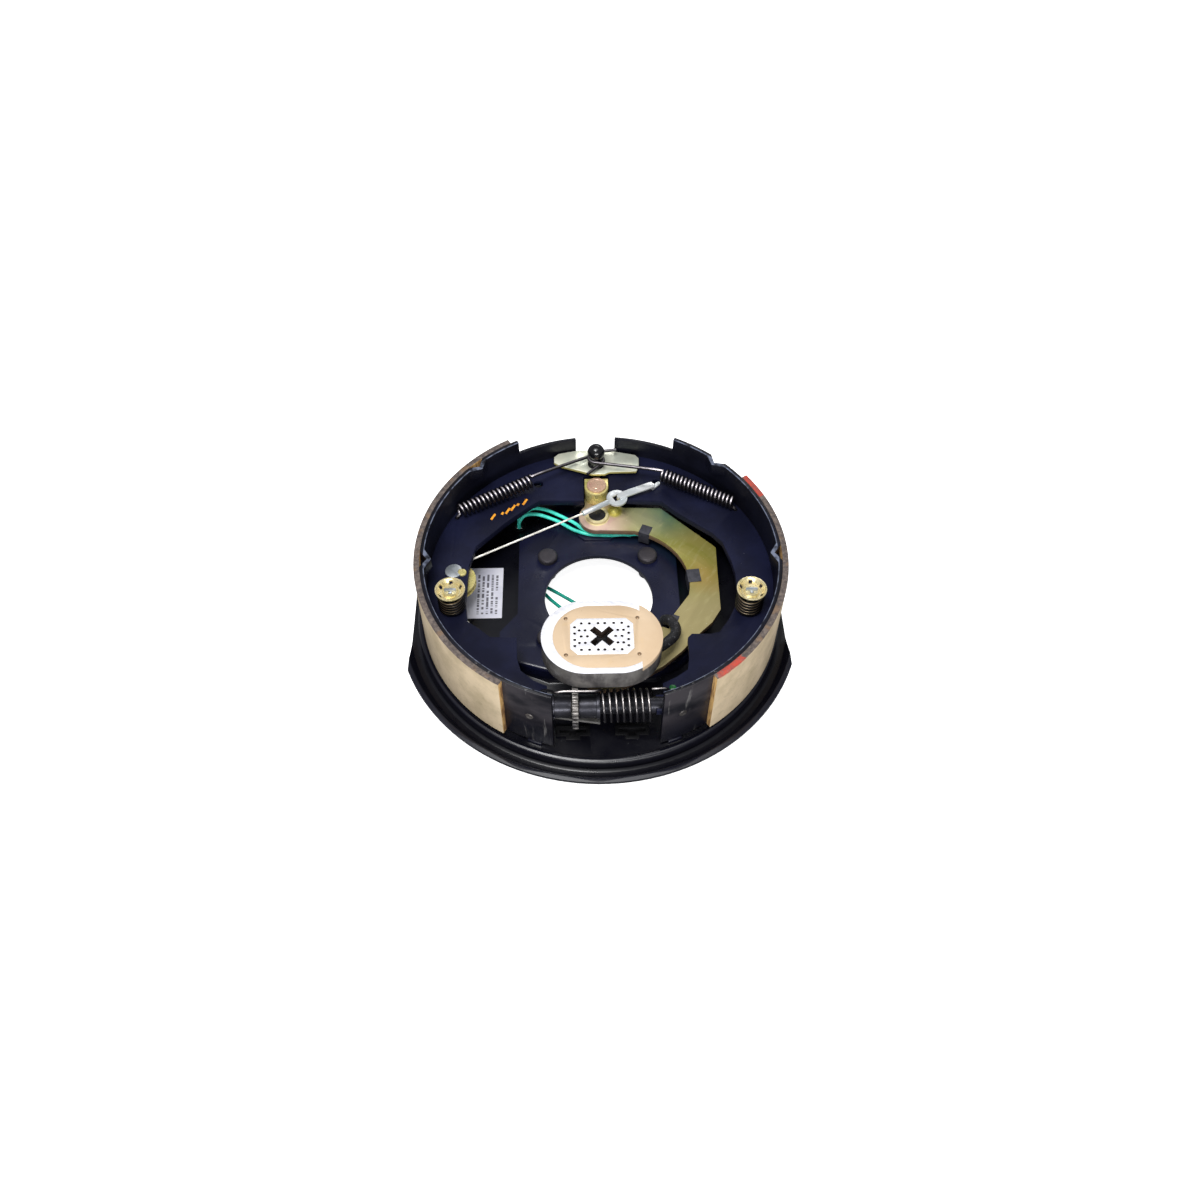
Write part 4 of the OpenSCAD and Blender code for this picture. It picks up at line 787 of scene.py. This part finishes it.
def make_light():
    world = bpy.data.worlds.new("world")
    world.use_nodes = True
    sky = world.node_tree.nodes["Background"]
    sky.inputs["Color"].default_value = (0.93, 0.95, 1, 1)
    sky.inputs["Strength"].default_value = 0.3
    bpy.context.scene.world = world
    soft_light("key", (-0.2, -0.32, 1.15), (0.44, 0.3), 9.3)
    soft_light("front", (0.1, -1.1, 0.36), (0.9, 0.3), 9.5)
    soft_light("overhead", (0.0, -0.02, 1.1), (0.9, 0.3), 2.9)
    soft_light("rim", (0.25, 0.95, 0.6), (0.6, 0.15), 1.4)
    bpy.context.scene.view_settings.view_transform = "Standard"


make_camera()
make_floor()
make_light()


# Cords and leads. The points are the ones of the CAD part.
LEAD_R = 1.3 * MM
SPREAD = 1.36
GROUND = -16.4


def on_ground(*places):
    return [(x, y, GROUND) for x, y in places]


FREE_UPPER = [
    (-58.3, 77.2 + SPREAD, -10.3), (-58.1, 78.6, -12.8), (-57, 77.6, -15.2),
    *on_ground((-55.6, 74), (-53, 64), (-51, 54), (-50.4, 44), (-48.6, 35.6), (-44, 29.6), (-37.7, 25.2),
               (-31.4, 20.9), (-25.6, 16.7), (-19.8, 12.4), (-11.1, 5.4), (-3.2, -1.7), (5.7, -9.1),
               (14.6, -16.6), (23.5, -23.2), (32.5, -26.4), (42.8, -27.4), (54.1, -27.8), (65.9, -28.4)),
]
FREE_LOWER = [
    (-58.3, 77.2 - SPREAD, -10.3), (-58.6, 75.7, -12.9), (-60.4, 74.2, -15),
    *on_ground((-60.6, 70), (-59, 61), (-57, 51), (-54.8, 41), (-50.6, 31), (-44.4, 24), (-38.6, 18.5),
               (-35.4, 14.5), (-31.8, 10.6), (-28.2, 6.9), (-20.6, -0.6), (-12.1, -8.5), (-3.2, -15.9),
               (5.7, -23.6), (13.2, -32.2), (18.9, -42.1), (23.5, -52.6), (28.4, -62.8), (34.7, -72.3)),
]
LEAD_UPPER = [
    (-58.3, 77.2 + SPREAD, -10), (-58.3, 77.2 + SPREAD, -4), (-57.9, 79.1, 0), (-56.2, 79.6, 3.4),
    (-51.8, 79.9, 6.4), (-48.5, 81, 8.2), (-43.8, 79.8, 9.6), (-39.1, 78.3, 10.1), (-34.5, 76.3, 10.1),
    (-29.8, 73.4, 10.1), (-25.2, 70.5, 10.1), (-21.5, 67.9, 10.1), (-17.8, 65.4, 10.1), (-14.2, 62.3, 10.1),
    (-11.9, 59.8, 10.1), (-9, 57.6, 10.1), (-4.6, 55.7, 10.1), (0.8, 55.1, 10.1), (7, 55.2, 10.1),
    (13, 55.6, 10.1), (19, 55.9, 10.1), (24.6, 55.7, 10.1), (29.7, 55.7, 10.1), (38.9, 53, 10.1),
    (47.2, 48.1, 10.1), (54.6, 41.6, 10.1), (60.6, 34.1, 10.1), (65.4, 25.6, 10.1), (68.5, 16.5, 10.1),
    (70, 6.8, 10.1), (69.3, -2.8, 10.1), (66.4, -9.6, 9.6), (64, -14.4, 9), (61.4, -18, 8.2),
    (59.2, -20.9, 7.7), (57.2, -22.3, 7.6),
]
LEAD_LOWER = [
    (-58.3, 77.2 - SPREAD, -10), (-58.3, 77.2 - SPREAD, -4), (-57.4, 75.9, 0), (-55.6, 76.5, 3),
    (-53.2, 77.2, 5), (-49.9, 76.9, 6.3), (-45.7, 76, 7.3), (-41.5, 74.8, 7.6), (-36.8, 72.7, 7.6),
    (-32.2, 70.4, 7.6), (-27.5, 67.6, 7.6), (-23, 64.2, 7.5), (-18.4, 60.7, 7.5), (-13.8, 58.2, 7.5),
    (-9.2, 56.3, 7.5), (-4.7, 55, 7.5), (2.2, 54.4, 7.5), (11, 54, 7.5), (18.4, 54.5, 7.5),
    (24, 53.9, 7.9), (28.9, 53.2, 9.3), (37.6, 50.4, 10), (45.5, 45.7, 10), (52.4, 39.7, 10),
    (58.2, 32.5, 10), (62.6, 24.4, 10), (65.7, 15.8, 10), (67.1, 6.7, 10), (66.6, -2.5, 9.6),
    (64.1, -8.6, 8.1), (61.5, -13.4, 7.8), (59.2, -16.7, 7.7), (57.1, -19.5, 7.7), (55.6, -21.6, 7.6),
]
SLEEVE = [
    (57.4, -21.2, 7.6), (55.4, -23.5, 7.6), (52.4, -25.4, 7.6), (49, -26.6, 7.7), (46.4, -27.4, 8.7),
    (44.6, -28.6, 11.4), (44.1, -30, 14.8), (44.7, -32, 18.2), (47, -34.6, 20.9), (49.4, -38.4, 21.8),
    (50.4, -42.9, 23.2), (50, -47.8, 25.4), (48.4, -52.9, 28), (45.4, -57.6, 30.4), (42, -61.8, 32.2),
    (38.4, -65.2, 33.4), (34.8, -67.6, 34), (31.4, -68.8, 34.6), (28.6, -69.4, 36.4), (27.2, -69.8, 38.8),
    (27, -69.8, 40.6),
]


def copper_ends(name, tip, heading):
    """The bared end of a lead: seven twisted copper strands, one of them in the middle."""
    strand_r, ring_r, length, hidden = 0.28 * MM, 0.6 * MM, 7 * MM, 1.5 * MM
    steps, twist = 14, 0.9
    heading = heading.normalized()
    side = UP.cross(heading).normalized()
    over = heading.cross(side)
    strands = []
    for k in range(7):
        ring = 0 if k == 0 else ring_r
        path = []
        for i in range(steps + 1):
            turn = math.tau * (k / 6 + twist * i / steps)
            path.append(tip + heading * (length * i / steps - hidden)
                        + (side * math.cos(turn) + over * math.sin(turn)) * ring)
        strands.append(tube(name, path, strand_r, 6))
    return piece(name, joined(name, strands), LOOKS["copper"], "backing")


def make_free_lead(name, node, points):
    route = smooth_route([point(*p) for p in points], 1.0 * MM)
    for place in route:
        place.z = max(place.z, GROUND * MM)
    lead = piece(name, tube(name, route, LEAD_R, 14), LOOKS["free_lead"], "backing")
    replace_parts(lead, node)
    ends = copper_ends(name + "_strands", route[-1], route[-1] - route[-4])


def make_magnet_lead(name, node, points):
    route = smooth_route([point(*p) for p in points], 1.2 * MM)
    lead = loose(name, tube(name, route, LEAD_R, 14), LOOKS["lead"])
    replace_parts(lead, node)
    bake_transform(lead)


def make_sleeve():
    """Braided sleeving: crossed bands of thread raised on a tube."""
    step, pitch, bands, sleeve_r = 0.55, 3.4, 10, 3.55 * MM
    route = smooth_route([point(*p) for p in SLEEVE], step * MM)

    def weave(turn, i):
        along = i * step / pitch
        one = math.sin(bands * turn / 2 + along * math.pi)
        two = math.sin(bands * turn / 2 - along * math.pi)
        return (0.16 * (one * one - two * two) + 0.1 * abs(one * two) - 0.1) * MM

    sleeve = loose("braided_sleeve", tube("braided_sleeve", route, sleeve_r, 40, weave), LOOKS["sleeve"])
    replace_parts(sleeve, "wire_sleeve")
    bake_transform(sleeve)


make_free_lead("free_lead_upper_skin", "free_lead_upper", FREE_UPPER)
make_free_lead("free_lead_lower_skin", "free_lead_lower", FREE_LOWER)
make_magnet_lead("magnet_lead_upper_skin", "magnet_lead_upper", LEAD_UPPER)
make_magnet_lead("magnet_lead_lower_skin", "magnet_lead_lower", LEAD_LOWER)
make_sleeve()


# Springs
RETURN_WIRE = 1.2 * MM
RETURN_COIL = 4.0 * MM
HOOK_R = 4.2 * MM + RETURN_WIRE + 0.2 * MM
HOOK_Z_RIGHT = 37.175 * MM
HOOK_Z_LEFT = 34.375 * MM
SPRING_LOW = 32.175 * MM
SPRING_HIGH = 34.475 * MM
# How far the piece of wire on the post stands proud of the wire that slides in it
HOOK_OVER = 0.04 * MM
HOLD_COIL = 8.2 * MM
HOLD_WIRE = 1.1 * MM


def return_spring(name, node, body, hole, a, b, turns, hook_z, wrap, tail, slip=0):
    """A return spring with its end in the web's hole and its long hook round the anchor post.

    With a slip, the hook stays on the post as a piece of its own, from that many points of the wire on,
    and the wire on the shoe slides into the first half of them."""
    low, high = point(*a, 0), point(*b, 0)
    low.z, high.z = SPRING_LOW, SPRING_HIGH
    coil = helix(low, high, RETURN_COIL, turns, 30, UP, 270)
    top = coil[-1]
    reach = Vector((ANCHOR.x - top.x, ANCHOR.y - top.y))
    heading = math.degrees(math.atan2(reach.y, reach.x) + math.asin(HOOK_R / reach.length))
    start = heading + 90
    end = start - wrap
    turn = math.radians(end)
    leave = Vector((ANCHOR.x + HOOK_R * math.cos(turn) + tail * math.sin(turn),
                    ANCHOR.y + HOOK_R * math.sin(turn) - tail * math.cos(turn), hook_z))
    foot = point(*hole, 0)
    inlet = smooth_route([foot + UP * (WEB_LOW - 2 * MM), foot + UP * WEB_TOP, coil[0]], 0.8 * MM)
    loop = arc(ANCHOR, HOOK_R, hook_z, start, end, 30)
    hook = smooth_route([coil[-1], coil[-1].lerp(loop[0], 0.12) + Vector((0, 0, 0.4 * MM)), loop[0]], 2 * MM)
    route = [*inlet[:-1], *coil, *hook[1:-1], *loop, leave]
    if slip:
        held = [*hook[-slip:-1], *loop, leave]
        eye = piece(name + "_hook", tube(name, held, RETURN_WIRE + HOOK_OVER), LOOKS["spring"], "backing")
        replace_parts(eye, node)
        route = [*inlet[:-1], *coil, *hook[1:-slip // 2]]
    spring = piece(name, tube(name, route, RETURN_WIRE), LOOKS["spring"], body)
    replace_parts(spring, node)


def make_springs():
    return_spring("return_coil_right", "return_spring_right", "primary_shoe", (100.7, 61.1), (98.6, 62.2),
                  (49, 88.8), 18.5, HOOK_Z_RIGHT, 160, 16 * MM, 8)
    return_spring("return_coil_left", "return_spring_left", "secondary_shoe", (-100.9, 56.6), (-98.8, 57.7),
                  (-47, 84.6), 17.5, HOOK_Z_LEFT, 165, 14.8 * MM)
    for side, at, cup in (("right", HOLD_RIGHT, CUP_RIGHT), ("left", HOLD_LEFT, CUP_LEFT)):
        low = Vector((at.x, at.y, WEB_TOP + 1.25 * MM))
        high = Vector((at.x, at.y, cup - 5.4 * MM))
        mesh = tube("hold_coil", helix(low, high, HOLD_COIL, 5, 40, AHEAD), HOLD_WIRE)
        spring = piece("hold_coil_" + side, mesh, LOOKS["hold_wire"], "backing")
        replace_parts(spring, "hold_down_spring_" + side)
    post = Vector((MAGNET.x, MAGNET.y, 0))
    coil = helix(post + point(0, 0, 17.2), post + point(0, 0, 39.8), 9.5 * MM, 5, 32, AHEAD)
    spring = loose("magnet_coil_spring", tube("magnet_coil_spring", coil, 1 * MM, 10), LOOKS["coil_wire"])
    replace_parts(spring, "magnet_spring")
    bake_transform(spring)


def make_adjuster_spring():
    wire, coil_r = 0.9 * MM, 10.1 * MM
    tail = 39.975
    starts, ends = Vector((-0.8 * MM, ADJUSTER_Y, AXIS_Z)), Vector((32 * MM, ADJUSTER_Y, AXIS_Z))
    coil = helix(starts, ends, coil_r, 8, 32, UP, 38)
    left = [
        point(-39.5, -94.5, 19.6), point(-39.5, -94.5, 27.1), point(-38, -95, 29.5), point(-33.5, -99, 35),
        point(-29.5, -103, tail - 1), point(-26, -103, tail), point(-5, -103, tail),
        point(-2.4, -101.4, tail - 1.4), point(-1.2, -98.5, tail - 5), coil[0],
    ]
    right = [
        coil[-1], point(36, -95.6, 30.2), point(40.5, -95.2, 29.4), point(42.5, -95, 27.1),
        point(42.5, -95, 19.6),
    ]
    route = [*smooth_route(left, 1 * MM)[:-1], *coil, *smooth_route(right, 1 * MM)[1:]]
    spring = loose("adjuster_coil", tube("adjuster_coil", route, wire), LOOKS["coil_wire"])
    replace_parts(spring, "adjuster_spring")
    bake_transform(spring)


def make_lever_spring():
    low = point(-45, -97, 9.8)
    coil = helix(low, low + point(0, 0, 7.65), 5.1 * MM, 4.5, 28, AHEAD)
    spring = piece("lever_coil", tube("lever_coil", coil, 0.7 * MM, 10), LOOKS["coil_wire"], "lever")
    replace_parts(spring, "lever_spring")


make_springs()
make_adjuster_spring()
make_lever_spring()


# Cable


def cable_route():
    """Straight from the crimp to the guide, round its groove, and on to the lever, as in the CAD part."""
    crimp, guide, hook = Vector((-10.2, 56)), Vector((-100.5, 5.8)), Vector((-50, -80.4))
    groove_r, cable_r, clearance = 12, 0.75, 0.1
    crimp_z, groove_z, hook_z = 29.475, 15.5, 11.375
    from_crimp, to_hook = 0.3, 4
    r = groove_r + cable_r + clearance
    reach_in = guide - crimp
    first = crimp + reach_in.normalized() * from_crimp
    touch = math.degrees(math.atan2(reach_in.y, reach_in.x) - math.asin(r / reach_in.length)) - 90
    reach_out = hook - guide
    leave = math.degrees(math.atan2(reach_out.y, reach_out.x) - math.acos(r / reach_out.length))
    run_out = math.sqrt(reach_out.length ** 2 - r * r) - to_hook
    last = guide + unit(leave).xy * r + unit(leave + 90).xy * run_out
    groove = arc(GUIDE, r * MM, groove_z * MM, touch, leave, 24)
    return [point(first.x, first.y, crimp_z), *groove, point(last.x, last.y, hook_z)]


def make_cable():
    corner = cable_route()
    route = []
    for a, b in zip(corner, corner[1:]):
        count = max(1, round((b - a).length / (0.9 * MM)))
        route += [a.lerp(b, i / count) for i in range(count)]
    route.append(corner[-1])
    lay, strand_r, ring = 8.0 * MM, 0.27 * MM, 0.48 * MM
    rings = frames_along(route)
    strands = [tube("cable", route, 0.3 * MM, 6)]
    for k in range(6):
        along, path = 0.0, []
        for i, (p, a, b) in enumerate(rings):
            if i:
                along += (p - route[i - 1]).length
            turn = math.tau * (k / 6 + along / lay)
            path.append(p + (a * math.cos(turn) + b * math.sin(turn)) * ring)
        strands.append(tube("cable", path, strand_r, 6))
    cable = piece("cable_strands", joined("cable_strands", strands), LOOKS["cable"], "secondary_shoe")
    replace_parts(cable, "adjuster_cable")


make_cable()


# Small details


def make_rivet():
    """The rivet of the block, with the ring that its setting tool leaves in the head."""
    low, high = 11.6, 27.575
    shank_r, head_r = 3.5, 7.1
    profile = [
        (0, low - 2), (head_r - 0.5, low - 2), (head_r, low - 1.6), (head_r, low), (shank_r, low),
        (shank_r, high), (head_r, high), (head_r, high + 1.4), (head_r - 0.4, high + 1.8),
        (5.2, high + 1.95), (4.8, high + 1.65), (4.3, high + 1.65), (3.9, high + 1.95), (0, high + 2),
    ]
    mesh = lathe("rivet", [(r * MM, z * MM) for r, z in profile], point(0.2, 84.8, 0), 72)
    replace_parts(piece("block_rivet_head", mesh, LOOKS["pink_zinc"], "arm"), "block_rivet")


def make_daubs():
    """Orange marks on the left web, a green dot on the right one, and weld marks on the tables' fronts."""
    along, short, long, thickness, flat = Vector((0.45, 0.89, 0)), 1.2 * MM, 3.1 * MM, 0.85 * MM, 0.12
    strokes = []
    for x, y, half in ((-75, 57, long), (-68.4, 60.2, short), (-64.6, 62.6, long), (-60.9, 65.6, long),
                       (-57.4, 68.6, short), (-52.4, 71.2, long)):
        centre = Vector((x * MM, y * MM, WEB_TOP))
        strokes.append(tube("stroke", [centre - along * half, centre, centre + along * half], thickness))
    mesh = joined("marks", strokes)
    for vertex in mesh.vertices:
        vertex.co.z = WEB_TOP + (vertex.co.z - WEB_TOP) * flat
    piece("orange_marks", mesh, LOOKS["ink"], "secondary_shoe")
    dome = [(0, -0.1), (2.1, -0.1), (2.2, 0.1), (1.6, 0.4), (0.8, 0.55), (0, 0.6)]
    mesh = lathe("dot", [(r * MM, z * MM) for r, z in dome], point(45.1, -92.3, 26.075), 40)
    piece("green_dot", mesh, LOOKS["green"], "primary_shoe")
    ring = [(0, -0.5), (2.7, -0.5), (2.7, 0.1), (2.2, 0.5), (1.6, 0.45), (1.1, 0.1), (0.5, 0.1), (0, 0.2)]
    for angle, body in ((-113.2, "secondary_shoe"), (-66.2, "primary_shoe")):
        out = unit(angle)
        centre = SHOE_CENTRE + out * TABLE_R + UP * AXIS_Z
        mesh = lathe("weld", [(r * MM, z * MM) for r, z in ring], centre, 40, out)
        piece("weld_mark_" + body, mesh, LOOKS["weld"], body)


def pressed_plate():
    """The backing plate, with the round shoulders and feet that pressing gives its centre pad."""
    work = cad_mesh("backing_plate")
    edge_bevel, shoulder_bevel, tall = 0.35 * MM, 2.8 * MM, 10 * MM
    pad_top, floor_top = 3.5 * MM, -8 * MM
    shoulder, small = [], []
    for edge in work.edges:
        if len(edge.link_faces) != 2 or edge.calc_face_angle(0) < SHARP:
            continue
        level = [f for f in edge.link_faces if abs(f.normal.z) > 0.9]
        wall = [f for f in edge.link_faces if abs(f.normal.z) < 0.1]
        if len(level) == 1 and len(wall) == 1:
            heights = [v.co.z for v in wall[0].verts]
            spans = max(heights) - min(heights) > tall
            off_level = min(abs(edge.verts[0].co.z - z) for z in (pad_top, floor_top))
            if spans and level[0].normal.z > 0 and off_level < 0.1 * MM:
                shoulder.append(edge)
                continue
            if spans and level[0].normal.z < 0:
                continue
        small.append(edge)
    rounded(work, small, edge_bevel, 2)
    rounded(work, [e for e in shoulder if e.is_valid], shoulder_bevel, 5, False)
    mesh = settled("plate_pressed", work)
    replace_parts(piece("plate_pressed", mesh, LOOKS["plate_paint"], "backing", 46), "backing_plate")


make_rivet()
make_daubs()
pressed_plate()


# Pieces that keep the CAD shape, with their edges rounded
FINISHED = [
    ("primary_table", "table_paint", "primary_shoe", 0.35),
    ("secondary_table", "table_paint", "secondary_shoe", 0.35),
    ("primary_web", "web_paint", "primary_shoe", 0.5),
    ("secondary_web", "web_paint", "secondary_shoe", 0.5),
    ("primary_lining", "lining", "primary_shoe", 0.25),
    ("secondary_lining", "lining", "secondary_shoe", 0.25),
    ("anchor_plate", "pale_zinc", "backing", 0.85),
    ("arm_pivot_pin", "pin_steel", "backing", 0.4),
    ("anchor_post", "post_paint", "backing", 0.3),
    ("mounting_studs", "stud_steel", "backing", 0.45),
    ("lead_grommet", "rubber", "backing", 0.4),
    ("label", "paper", "backing", 0),
    ("hold_down_pin_right", "silver", "backing", 0.25),
    ("hold_down_pin_left", "silver", "backing", 0.25),
    ("hold_down_cup_right", "cup_zinc", "backing", 0.15),
    ("hold_down_cup_left", "cup_zinc", "backing", 0.15),
    ("adjuster_socket", "adjuster", "secondary_shoe", 0.4),
    ("star_screw", "star", "screw", 0.2),
    ("adjuster_nut", "adjuster", "nut", 0.4),
    ("adjuster_lever", "lever_steel", "lever", 0.25),
    ("lever_pin", "silver", "secondary_shoe", 0.3),
    ("cable_hook", "zinc", "primary_shoe", 0.25),
    ("cable_eyelet", "zinc", "primary_shoe", 0.3),
    ("cable_end_loop", "cable", "lever", 0),
    ("cable_guide", "gold_zinc", "secondary_shoe", 0.3),
    ("cable_guide_pin", "silver", "secondary_shoe", 0.3),
    ("actuating_arm", "arm", "arm", 0.4),
    ("arm_block", "gold_zinc", "arm", 0.6),
    ("wire_clips", "clip", "arm", 0.2),
    ("slot_plugs", "rubber", "backing", 0.2),
    ("magnet_post", "pin_steel", "arm", 0.3),
    ("magnet_retainer", "rubber", "arm", 0.2),
    ("magnet_housing", "shell", "magnet", 0.5),
    ("magnet_core", "core", "magnet", 0.12),
    ("magnet_coil", "copper", "magnet", 0.4),
    ("magnet_face", "friction", "magnet", 0.25),
]
for node, look_name, body, bevel in FINISHED:
    finished(node, LOOKS[look_name], body, bevel * MM)
